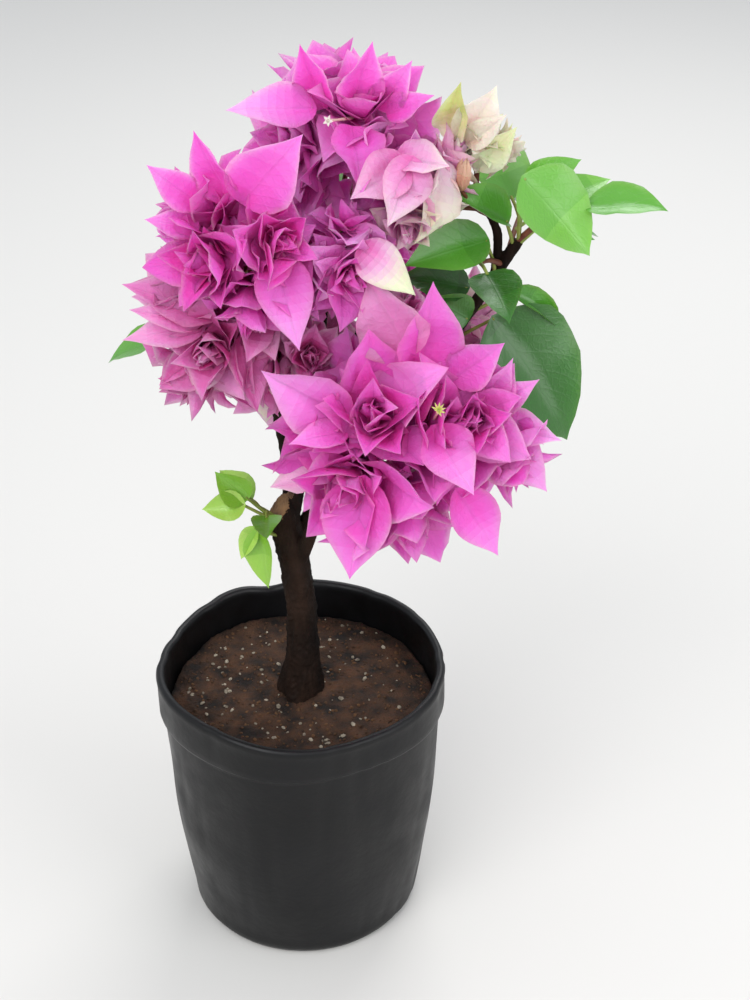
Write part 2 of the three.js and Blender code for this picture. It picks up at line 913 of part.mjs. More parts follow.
// The stem of a mass, its middle, the reach that its cell is weighed by, and the rule that fills it.
function preparedMasses(limbs) {
  const startOf = (spec) => limbs.get(spec.bough).curve.getPointAt(spec.share);
  const blooms = HEADS.map((spec, i) => {
    const middle = aboveGround(spec.middle);
    const facing = vec(spec.faces).normalize();
    const hub = along(middle, facing, -BLOOM.hubDepth * spec.radius);
    const stem = stemLimb(startOf(spec), hub, BLOOM.stemRadius, vec(BLOOM.stemBow));
    return { ...spec, middle, facing, hub, stem, seed: i + BLOOM.seed, solids: bloomSolids };
  });
  const sprays = SPRAYS.map((spec, i) => {
    const from = startOf(spec);
    const tip = aboveGround(spec.tip);
    const stem = stemLimb(from, tip, LEAF.stemRadius, vec(LEAF.stemBow));
    const middle = from.clone().lerp(tip, LEAF.cellPlace);
    const radius = spec.length * LEAF.cellReach;
    return { ...spec, middle, radius, stem, seed: i + LEAF.seed, solids: spraySolids };
  });
  return [...blooms, ...sprays];
}

function plant() {
  const group = new THREE.Group();
  group.add(meshOf("pot", pot(), "pot"), meshOf("soil", soil(), "soil"));

  const limbs = new Map([["trunk", trunkLimb()]]);
  let wood = trunk(limbs.get("trunk"), GAP);
  group.add(meshOf("trunk", trunk(limbs.get("trunk")), "bark"));
  for (const spec of BOUGHS) {
    const limb = boughLimb(spec, limbs.get(spec.parent));
    limbs.set(spec.name, limb);
    group.add(meshOf(spec.name, mainBody(limb.solid().subtract(wood)), "bark"));
    wood = wood.add(limb.solid(GAP));
  }

  const masses = preparedMasses(limbs);
  const stems = masses.map((mass) => mass.stem.solid(GAP));
  masses.forEach((mass, i) => {
    const obstacles = joined([wood, ...stems.filter((_, k) => k !== i)]);
    const parts = mass.solids(mass, roomFor(mass, masses), obstacles);
    const whole = mass.stem.solid().subtract(wood).add(joined(parts).subtract(obstacles));
    group.add(meshOf(mass.name, mainBody(whole), mass.finish));
  });
  return group;
}

export default plant();
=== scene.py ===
"""The looks of a young bougainvillea in its soft black pot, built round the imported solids.

The tables repeat the part's source, in millimetres, and the rules that grow the plant are written again.
Each head and spray of leaves stands where its solid stands, and is carried on to finer bracts and twigs.
"""

import json
import logging
import math
from dataclasses import dataclass, field, replace
from enum import Enum
from functools import lru_cache

import bmesh
import bpy
import numpy as np
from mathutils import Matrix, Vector, noise

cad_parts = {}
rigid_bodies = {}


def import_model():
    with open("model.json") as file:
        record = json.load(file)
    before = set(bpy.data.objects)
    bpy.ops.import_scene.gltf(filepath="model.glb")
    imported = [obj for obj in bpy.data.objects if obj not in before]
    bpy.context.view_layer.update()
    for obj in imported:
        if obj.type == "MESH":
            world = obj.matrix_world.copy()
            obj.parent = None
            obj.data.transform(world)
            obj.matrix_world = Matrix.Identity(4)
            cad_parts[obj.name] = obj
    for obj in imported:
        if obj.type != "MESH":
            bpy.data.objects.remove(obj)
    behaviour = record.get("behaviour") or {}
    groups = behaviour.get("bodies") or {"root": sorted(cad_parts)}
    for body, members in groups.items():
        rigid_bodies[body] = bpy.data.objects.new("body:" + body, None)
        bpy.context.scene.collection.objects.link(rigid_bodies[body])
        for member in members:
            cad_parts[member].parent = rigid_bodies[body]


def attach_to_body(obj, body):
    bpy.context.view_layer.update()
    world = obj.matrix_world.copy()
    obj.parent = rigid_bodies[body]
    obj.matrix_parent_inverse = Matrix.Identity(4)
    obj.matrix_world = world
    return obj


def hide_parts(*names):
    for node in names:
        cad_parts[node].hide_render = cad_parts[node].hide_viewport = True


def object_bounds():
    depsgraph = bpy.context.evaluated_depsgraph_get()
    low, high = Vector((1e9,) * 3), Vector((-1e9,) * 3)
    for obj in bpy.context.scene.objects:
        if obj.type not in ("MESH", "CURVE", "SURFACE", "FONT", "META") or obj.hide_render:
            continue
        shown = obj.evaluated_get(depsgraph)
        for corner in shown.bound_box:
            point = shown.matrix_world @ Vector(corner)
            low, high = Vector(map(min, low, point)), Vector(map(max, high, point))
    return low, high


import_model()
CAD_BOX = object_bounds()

MM = 0.001
GOLDEN_TURN = math.pi * (3 - math.sqrt(5))
UP = np.array([0.0, 0.0, 1.0])
Point = tuple[float, float, float]
Arrays = tuple[np.ndarray, np.ndarray]
Piece = bpy.types.Object
Material = bpy.types.Material
log = logging.getLogger("plant")


# Chance, directions and curves, as in the source.


def chance(seed: int, count: int) -> float:
    """Draw a fixed share.

    Args:
        seed: The number of what draws.
        count: The number of the draw.

    Returns:
        A share from 0 to 1, always the same for the same two numbers.
    """
    spun = math.sin(seed * 127.1 + count * 311.7 + 74.7) * 43758.5453
    return spun - math.floor(spun)


def jitter(seed: int, count: int, size: float) -> float:
    """Draw a number between -size and size."""
    return (chance(seed, count) - 0.5) * 2 * size


def unit(vector: np.ndarray) -> np.ndarray:
    """Scale a vector to length 1."""
    return vector / max(float(np.linalg.norm(vector)), 1e-12)


def leaning(axis: np.ndarray, tilt: float, turn: float) -> np.ndarray:
    """Lean away from an axis.

    Args:
        axis: The axis, of length 1.
        tilt: The angle from it, in radians.
        turn: The angle about it, in radians.

    Returns:
        The leaning direction, of length 1.
    """
    helper = UP if abs(axis[2]) < 0.9 else np.array([1.0, 0.0, 0.0])
    side = unit(np.cross(helper, axis))
    other = np.cross(axis, side)
    return unit(
        axis * math.cos(tilt)
        + side * (math.sin(tilt) * math.cos(turn))
        + other * (math.sin(tilt) * math.sin(turn))
    )


def above_ground(point: Point) -> np.ndarray:
    """Move a point given above the soil to the part's frame."""
    return np.array(point, float) + UP * Pot.ground


class Line:
    """A centripetal Catmull-Rom curve, measured along its length."""

    steps = 200

    def __init__(self, points: list[np.ndarray]) -> None:
        """Fit the curve.

        Args:
            points: The points that it runs through.
        """
        self.points = [np.asarray(p, float) for p in points]
        self.knots = np.linspace(0, 1, self.steps + 1)
        places = np.array([self.at_knot(t) for t in self.knots])
        gaps = np.linalg.norm(np.diff(places, axis=0), axis=1)
        self.lengths = np.concatenate([[0.0], np.cumsum(gaps)])

    def at_knot(self, knot: float) -> np.ndarray:
        """Work out the curve's own formula.

        Args:
            knot: The curve's parameter, from 0 to 1.

        Returns:
            The point there.
        """
        last = len(self.points) - 1
        place = last * knot
        index = min(int(place), last - 1)
        weight = place - index
        p1, p2 = self.points[index], self.points[index + 1]
        p0 = self.points[index - 1] if index > 0 else 2 * p1 - p2
        p3 = self.points[index + 2] if index + 2 <= last else 2 * p2 - p1
        d0, d1, d2 = (math.sqrt(float(np.linalg.norm(b - a))) for a, b in ((p0, p1), (p1, p2), (p2, p3)))
        m1 = ((p1 - p0) / d0 - (p2 - p0) / (d0 + d1) + (p2 - p1) / d1) * d1
        m2 = ((p2 - p1) / d1 - (p3 - p1) / (d1 + d2) + (p3 - p2) / d2) * d1
        square = -3 * p1 + 3 * p2 - 2 * m1 - m2
        cube = 2 * p1 - 2 * p2 + m1 + m2
        return p1 + m1 * weight + square * weight**2 + cube * weight**3

    def at(self, share: float) -> np.ndarray:
        """Find the point a share of the way along."""
        return self.at_knot(float(np.interp(share * self.lengths[-1], self.lengths, self.knots)))

    def way_at(self, share: float) -> np.ndarray:
        """Find the direction a share of the way along."""
        low, high = max(share - 1e-3, 0.0), min(share + 1e-3, 1.0)
        return unit(self.at(high) - self.at(low))

    def frames(self, rings: int) -> tuple[np.ndarray, np.ndarray, np.ndarray]:
        """Carry a frame along the curve without twist.

        Args:
            rings: The number of steps along the curve.

        Returns:
            The points, normals and binormals, one row for each ring.
        """
        shares = np.linspace(0, 1, rings + 1)
        places = np.array([self.at(s) for s in shares])
        ways = np.array([self.way_at(s) for s in shares])
        smallest = int(np.argmin(np.abs(ways[0])))
        normals = [unit(np.cross(ways[0], unit(np.cross(ways[0], np.eye(3)[smallest]))))]
        for way in ways[1:]:
            normals.append(unit(normals[-1] - way * float(normals[-1] @ way)))
        return places, np.array(normals), np.cross(ways, np.array(normals))


# Meshes gathered from many small shapes.


@dataclass
class Skin:
    """Gathers the triangles of many small shapes, and makes one piece of them."""

    places: list[np.ndarray] = field(default_factory=list)
    corners: list[np.ndarray] = field(default_factory=list)
    tints: list[np.ndarray] = field(default_factory=list)
    charts: list[np.ndarray] = field(default_factory=list)
    rims: list[np.ndarray] = field(default_factory=list)
    count: int = 0

    def add(
        self, places: np.ndarray, corners: np.ndarray, tints: np.ndarray | int = 0,
        chart: np.ndarray | None = None, rim: np.ndarray | None = None,
    ) -> None:
        """Take in one closed shape.

        Args:
            places: Its points, in millimetres.
            corners: Its triangles, as rows of three point numbers.
            tints: The material number of each triangle, or of all of them.
            chart: A UV place for each point.
            rim: Which points lie on a sharp rim.
        """
        self.places.append(places)
        self.corners.append(corners + self.count)
        self.tints.append(np.broadcast_to(np.asarray(tints, np.int32), (len(corners),)))
        self.charts.append(np.zeros((len(places), 2)) if chart is None else chart)
        self.rims.append(np.zeros(len(places), bool) if rim is None else rim)
        self.count += len(places)

    def piece(self, name: str, finishes: list[Material]) -> Piece:
        """Make the mesh and its object.

        Args:
            name: The piece's name.
            finishes: Its materials, in the order of the tint numbers.

        Returns:
            The new object, linked to the scene.
        """
        places, corners = np.vstack(self.places) * MM, np.vstack(self.corners)
        mesh = bpy.data.meshes.new(name)
        mesh.vertices.add(len(places))
        mesh.vertices.foreach_set("co", places.astype(np.float32).ravel())
        mesh.loops.add(corners.size)
        mesh.loops.foreach_set("vertex_index", corners.astype(np.int32).ravel())
        mesh.polygons.add(len(corners))
        mesh.polygons.foreach_set("loop_start", np.arange(0, corners.size, 3, dtype=np.int32))
        mesh.polygons.foreach_set("material_index", np.concatenate(self.tints).astype(np.int32))
        mesh.update(calc_edges=True)
        chart = np.vstack(self.charts)[corners.ravel()].astype(np.float32)
        mesh.uv_layers.new(name="Blade").data.foreach_set("uv", chart.ravel())
        rim = np.concatenate(self.rims)
        if rim.any():
            ends = np.empty(len(mesh.edges) * 2, np.int32)
            mesh.edges.foreach_get("vertices", ends)
            sharp = rim[ends.reshape(-1, 2)].all(axis=1)
            mesh.attributes.new("sharp_edge", "BOOLEAN", "EDGE").data.foreach_set("value", sharp)
        for finish in finishes:
            mesh.materials.append(finish)
        return linked(name, mesh)


def ring_corners(rings: int, sides: int) -> np.ndarray:
    """List the triangles of stacked rings, closed at foot and top by the two points after them.

    Args:
        rings: The number of rings.
        sides: The number of points in a ring.

    Returns:
        The triangles, which face outwards.
    """
    ring, side = np.meshgrid(np.arange(rings - 1), np.arange(sides), indexing="ij")
    a, b = (ring * sides + side).ravel(), (ring * sides + (side + 1) % sides).ravel()
    k, last, foot = np.arange(sides), (rings - 1) * sides, np.full(sides, rings * sides)
    after = (k + 1) % sides
    walls = [(a, b, b + sides), (a, b + sides, a + sides)]
    ends = [(foot, after, k), (foot + 1, last + k, last + after)]
    return np.vstack([np.stack(corners, 1) for corners in walls + ends])


def tube(line: Line, radii: np.ndarray, rings: int, sides: int) -> Arrays:
    """Wrap a closed tube round a curve.

    Args:
        line: The curve along its middle.
        radii: A radius for each ring, or for each ring and side.
        rings: The number of steps along it.
        sides: The number of sides.

    Returns:
        The points and the triangles.
    """
    middles, normals, binormals = line.frames(rings)
    turns = np.arange(sides) * 2 * math.pi / sides
    reach = np.broadcast_to(radii if radii.ndim == 2 else radii[:, None], (rings + 1, sides))
    places = (
        middles[:, None]
        + normals[:, None] * (reach * np.cos(turns))[..., None]
        + binormals[:, None] * (reach * np.sin(turns))[..., None]
    )
    return np.vstack([places.reshape(-1, 3), middles[0], middles[-1]]), ring_corners(rings + 1, sides)


def linked(name: str, data: bpy.types.Mesh | bpy.types.Light | bpy.types.Camera) -> Piece:
    """Make an object and link it to the scene.

    Args:
        name: Its name.
        data: Its mesh, light or camera.

    Returns:
        The object.
    """
    piece = bpy.data.objects.new(name, data)
    bpy.context.scene.collection.objects.link(piece)
    return piece


def plain_mesh(piece: Piece) -> Piece:
    """Turn a piece with live modifiers into a plain mesh, and drop the modifiers.

    Args:
        piece: The piece.

    Returns:
        The same piece.
    """
    graph = bpy.context.evaluated_depsgraph_get()
    result = bpy.data.meshes.new_from_object(piece.evaluated_get(graph))
    piece.modifiers.clear()
    piece.data = result
    result.name = piece.name
    return piece


def vectors(items: bpy.types.bpy_prop_collection, label: str) -> np.ndarray:
    """Read a vector of every point or face of a mesh.

    Args:
        items: The points or faces.
        label: The vector's name.

    Returns:
        A row for each of them.
    """
    values = np.empty(len(items) * 3)
    items.foreach_get(label, values)
    return values.reshape(-1, 3)


# Finishes.


def linear(colour: str) -> tuple[float, float, float, float]:
    """Turn a colour into Blender's linear values.

    Args:
        colour: Its hexadecimal code.

    Returns:
        Red, green, blue and alpha.
    """
    shares = [int(colour[i : i + 2], 16) / 255 for i in (1, 3, 5)]
    red, green, blue = (s / 12.92 if s <= 0.04045 else ((s + 0.055) / 1.055) ** 2.4 for s in shares)
    return red, green, blue, 1.0


class Nodes:
    """Adds nodes to a tree and links them, with values by socket name."""

    def __init__(self, tree: bpy.types.NodeTree) -> None:
        """Keep the tree."""
        self.tree = tree

    def add(self, kind: str, settings: dict | None = None, **values: object) -> bpy.types.Node:
        """Add a node.

        Args:
            kind: Its Blender type.
            settings: Properties of the node itself.
            values: A value or an output for each input, spaces written as underscores.

        Returns:
            The node.
        """
        node = self.tree.nodes.new(kind)
        for name, value in (settings or {}).items():
            setattr(node, name, value)
        for name, value in values.items():
            self.feed(node.inputs[name.replace("_", " ")], value)
        return node

    def feed(self, socket: bpy.types.NodeSocket, value: object) -> None:
        """Give an input a plain value, or link an output to it.

        Args:
            socket: The input.
            value: The value or the output.
        """
        if isinstance(value, bpy.types.NodeSocket):
            self.tree.links.new(value, socket)
        else:
            socket.default_value = value

    def sum(self, operation: str, *values: object) -> bpy.types.NodeSocket:
        """Add a Math node.

        Args:
            operation: What it does.
            values: Its inputs in order, numbers or outputs.

        Returns:
            Its output.
        """
        node = self.tree.nodes.new("ShaderNodeMath")
        node.operation = operation
        for socket, value in zip(node.inputs, values):
            self.feed(socket, value)
        return node.outputs[0]


def node_group(
    kind: str, name: str, inputs: dict[str, str | float], outputs: dict[str, str]
) -> tuple[Nodes, bpy.types.Node, bpy.types.Node]:
    """Start a node group.

    Args:
        kind: Its Blender type.
        name: Its name.
        inputs: Each input's name, with its socket type, or with the default of a plain number.
        outputs: Each output's name, with its socket type.

    Returns:
        Its node maker, and its input and output nodes.
    """
    tree = bpy.data.node_groups.new(name, kind)
    for way, sockets in (("INPUT", inputs), ("OUTPUT", outputs)):
        for label, value in sockets.items():
            number = isinstance(value, float)
            socket_type = "NodeSocketFloat" if number else f"NodeSocket{value}"
            socket = tree.interface.new_socket(label, in_out=way, socket_type=socket_type)
            if number:
                socket.default_value = value
    nodes = Nodes(tree)
    return nodes, nodes.add("NodeGroupInput"), nodes.add("NodeGroupOutput")


def vein_group() -> bpy.types.NodeTree:
    """Build the relief of a midrib with side veins, read from a blade's own UV map.

    Returns:
        The group, which puts out a height from 0 to 1.
    """
    inputs = {"Pairs": 7.0, "Slant": 2.2, "Net": 420.0}
    nodes, start, end = node_group("ShaderNodeTree", "Blade veins", inputs, {"Height": "Float"})
    chart = nodes.add("ShaderNodeUVMap", {"uv_map": "Blade"})
    parts = nodes.add("ShaderNodeSeparateXYZ", Vector=chart.outputs[0])
    side = nodes.sum("ABSOLUTE", nodes.sum("MULTIPLY_ADD", parts.outputs[0], 2.0, -1.0))
    slanted = nodes.sum("MULTIPLY", side, start.outputs["Slant"])
    phase = nodes.sum("SUBTRACT", nodes.sum("MULTIPLY", parts.outputs[1], start.outputs["Pairs"]), slanted)
    saw = nodes.sum("ABSOLUTE", nodes.sum("MULTIPLY_ADD", nodes.sum("FRACT", phase), 2.0, -1.0))
    veins = nodes.sum("POWER", saw, 9.0)
    midrib = nodes.sum("POWER", nodes.sum("SUBTRACT", 1.0, side), 22.0)
    place = nodes.add("ShaderNodeTexCoord").outputs["Object"]
    edges = {"feature": "DISTANCE_TO_EDGE"}
    net = nodes.add("ShaderNodeTexVoronoi", edges, Vector=place, Scale=start.outputs["Net"])
    lace = nodes.sum("SUBTRACT", 1.0, nodes.sum("MULTIPLY", net.outputs["Distance"], 5.0))
    lace = nodes.sum("MULTIPLY", nodes.sum("MAXIMUM", lace, 0.0), 0.35)
    height = nodes.sum("ADD", nodes.sum("MULTIPLY", veins, 0.5), nodes.sum("MAXIMUM", midrib, lace))
    nodes.feed(end.inputs["Height"], height)
    return nodes.tree


def mottle_group() -> bpy.types.NodeTree:
    """Build soft mottling in the piece's own space.

    Returns:
        The group, which puts out a value that wanders between Low and High, and the noise itself.
    """
    inputs = {"Scale": 60.0, "Detail": 4.0, "Low": 0.0, "High": 1.0}
    outputs = {"Value": "Float", "Noise": "Float"}
    nodes, start, end = node_group("ShaderNodeTree", "Mottling", inputs, outputs)
    scale, detail, low, high = (start.outputs[label] for label in inputs)
    place = nodes.add("ShaderNodeTexCoord").outputs["Object"]
    cloud = nodes.add("ShaderNodeTexNoise", Vector=place, Scale=scale, Detail=detail).outputs[0]
    spread = nodes.add(
        "ShaderNodeMapRange", Value=cloud, From_Min=0.3, From_Max=0.7, To_Min=low, To_Max=high
    )
    nodes.feed(end.inputs["Value"], spread.outputs[0])
    nodes.feed(end.inputs["Noise"], cloud)
    return nodes.tree


def new_material(name: str, values: dict[str, object]) -> tuple[Material, Nodes, bpy.types.Node]:
    """Start a material.

    Args:
        name: Its name.
        values: A plain value for each socket of its shader that stays unlinked.

    Returns:
        The material, its node maker and its shader.
    """
    material = bpy.data.materials.new(name)
    material.use_nodes = True
    shader = material.node_tree.nodes["Principled BSDF"]
    for label, value in values.items():
        shader.inputs[label].default_value = value
    return material, Nodes(material.node_tree), shader


@dataclass(frozen=True)
class BladeFinish:
    """The finish of a bract or leaf: one plain colour, with veins and crinkles in its relief."""

    name: str
    colour: str
    rough: tuple[float, float] = (0.5, 0.62)
    glow: float = 0.5
    glow_depth: float = 0.002
    glow_colour: Point = (1.0, 0.35, 0.6)
    mirror: float = 0.3
    coat: float = 0.0
    coat_rough: float = 0.25
    mottling: float = 140.0
    net: float = 420.0
    crinkle: float = 0.8
    relief: float = 0.35
    depth: float = 0.0006

    def material(self, groups: dict[str, bpy.types.NodeTree]) -> Material:
        """Build the material.

        Args:
            groups: The shared node groups by name.

        Returns:
            The material.
        """
        values = {
            "Base Color": linear(self.colour),
            "Subsurface Weight": self.glow,
            "Subsurface Scale": self.glow_depth,
            "Subsurface Radius": self.glow_colour,
            "Specular IOR Level": self.mirror,
            "Coat Weight": self.coat,
            "Coat Roughness": self.coat_rough,
        }
        material, nodes, shader = new_material(self.name, values)
        low, high = self.rough
        mottle = nodes.add(
            "ShaderNodeGroup", {"node_tree": groups["mottle"]}, Scale=self.mottling, Low=low, High=high
        )
        veins = nodes.add("ShaderNodeGroup", {"node_tree": groups["veins"]}, Net=self.net)
        height = nodes.sum("MULTIPLY_ADD", mottle.outputs["Noise"], self.crinkle, veins.outputs["Height"])
        bump = nodes.add("ShaderNodeBump", Height=height, Strength=self.relief, Distance=self.depth)
        nodes.feed(shader.inputs["Roughness"], mottle.outputs["Value"])
        nodes.feed(shader.inputs["Normal"], bump.outputs[0])
        return material


@dataclass(frozen=True)
class Grained:
    """A finish whose colour wanders between two tones, with a rough relief of its own."""

    name: str
    dark: str
    light: str
    scale: float
    rough: tuple[float, float]
    relief: float
    depth: float
    stretch: float = 1.0
    fine: float = 6.0
    mirror: float = 0.4

    def material(self, groups: dict[str, bpy.types.NodeTree]) -> Material:
        """Build the material.

        Args:
            groups: The shared node groups by name.

        Returns:
            The material.
        """
        material, nodes, shader = new_material(self.name, {"Specular IOR Level": self.mirror})
        place = nodes.add("ShaderNodeTexCoord").outputs["Object"]
        drawn = nodes.add("ShaderNodeMapping", Vector=place, Scale=(1, 1, self.stretch)).outputs[0]
        broad = nodes.add("ShaderNodeTexNoise", Vector=drawn, Scale=self.scale, Detail=8.0).outputs[0]
        grain = nodes.add("ShaderNodeTexNoise", Vector=drawn, Scale=self.scale * self.fine, Detail=6.0)
        tone = nodes.add("ShaderNodeMapRange", Value=broad, From_Min=0.35, From_Max=0.65)
        mix = nodes.add("ShaderNodeMix", {"data_type": "RGBA"})
        for socket, value in (("Factor", tone.outputs[0]), (6, linear(self.dark)), (7, linear(self.light))):
            nodes.feed(mix.inputs[socket], value)
        low, high = self.rough
        mottle = nodes.add(
            "ShaderNodeGroup", {"node_tree": groups["mottle"]}, Scale=self.scale * 2, Low=low, High=high
        )
        height = nodes.sum("MULTIPLY_ADD", grain.outputs[0], 0.6, broad)
        bump = nodes.add("ShaderNodeBump", Height=height, Strength=self.relief, Distance=self.depth)
        nodes.feed(shader.inputs["Base Color"], mix.outputs[2])
        nodes.feed(shader.inputs["Roughness"], mottle.outputs["Value"])
        nodes.feed(shader.inputs["Normal"], bump.outputs[0])
        return material


class Family(Enum):
    """The colour families: each one's slot in the record, its key colours and its number of tints."""

    BRIGHT = ("bract_bright", ("#bc1e76", "#de3ea2", "#e85cbe", "#f08ad6", "#f6bcec"), 18)
    FADED = ("bract_faded", ("#9a2862", "#c84e90", "#e280ba", "#eeaacf", "#f2d4ce", "#e8e4bc"), 30)
    YOUNG = ("bract_young", ("#d97a62", "#eab49c", "#f2dfd4", "#e6e4b8", "#bcd078"), 16)
    LEAF = ("leaf", ("#14380e", "#2c681a", "#54982e", "#90c858"), 14)
    LEAF_YOUNG = ("leaf_young", ("#508c1c", "#7ab030", "#aad25c"), 8)

    @property
    def slot(self) -> str:
        """Give the record's material slot."""
        return self.value[0]

    @property
    def count(self) -> int:
        """Give the number of tints."""
        return self.value[2]

    def tints(self) -> list[str]:
        """Blend the key colours into evenly spaced tints.

        Returns:
            Their hexadecimal codes, from the deepest to the palest.
        """
        keys = np.array([[int(key[i : i + 2], 16) for i in (1, 3, 5)] for key in self.value[1]], float)
        places = np.linspace(0, len(keys) - 1, self.count)
        mixed = [[np.interp(p, range(len(keys)), keys[:, c]) for c in range(3)] for p in places]
        return ["#" + "".join(f"{round(c):02x}" for c in colour) for colour in mixed]


class Finish(Enum):
    """The finishes of everything but the bracts and leaves."""

    BARK = Grained("bark", "#0b0604", "#2a1c14", 90.0, (0.7, 0.95), 1.0, 0.0012, 0.35, 6.0, 0.15)
    CUT_WOOD = Grained("cut_wood", "#4a3424", "#8a6a48", 160.0, (0.75, 0.95), 0.4, 0.0004)
    YOUNG_WOOD = Grained("young_wood", "#5a2a20", "#7c4a30", 160.0, (0.45, 0.7), 0.4, 0.0003)
    GREEN_STALK = Grained("green_stalk", "#7a8a3c", "#9aa852", 160.0, (0.4, 0.6), 0.3, 0.0002)
    POT = Grained("pot", "#060607", "#0d0d0f", 30.0, (0.34, 0.54), 0.3, 0.0006, 1.0, 12.0, 0.3)
    SOIL = Grained("soil", "#150d08", "#4a3120", 120.0, (0.85, 1.0), 1.0, 0.0015)
    GRIT = Grained("grit", "#5c5346", "#a89e8c", 300.0, (0.7, 0.9), 0.5, 0.0003)
    CRUMBS = Grained("crumbs", "#2a1a10", "#5c4028", 300.0, (0.85, 1.0), 0.8, 0.0004)
    PETAL = BladeFinish("flower_petal", "#f6f2e2", net=600.0)
    FLOWER_TUBE = BladeFinish("flower_tube", "#dfc3b4", net=600.0)
    STAR = BladeFinish("flower_star", "#d3d46a", net=600.0)


class Palette:
    """Every material of the plant, built once."""

    glossy = {
        "rough": (0.28, 0.42), "glow": 0.12, "glow_colour": (0.5, 1.0, 0.2),
        "mirror": 0.5, "coat": 0.35, "relief": 0.25,
    }

    def __init__(self) -> None:
        """Build the shared groups and the materials."""
        groups = {"veins": vein_group(), "mottle": mottle_group()}
        self.blades: dict[Family, list[Material]] = {}
        for family in Family:
            looks = self.glossy if family in (Family.LEAF, Family.LEAF_YOUNG) else {}
            tints = enumerate(family.tints())
            finishes = [BladeFinish(f"{family.slot}_{i}", colour, **looks) for i, colour in tints]
            self.blades[family] = [finish.material(groups) for finish in finishes]
        self.plain = {finish: finish.value.material(groups) for finish in Finish}


# The pot and what fills it.


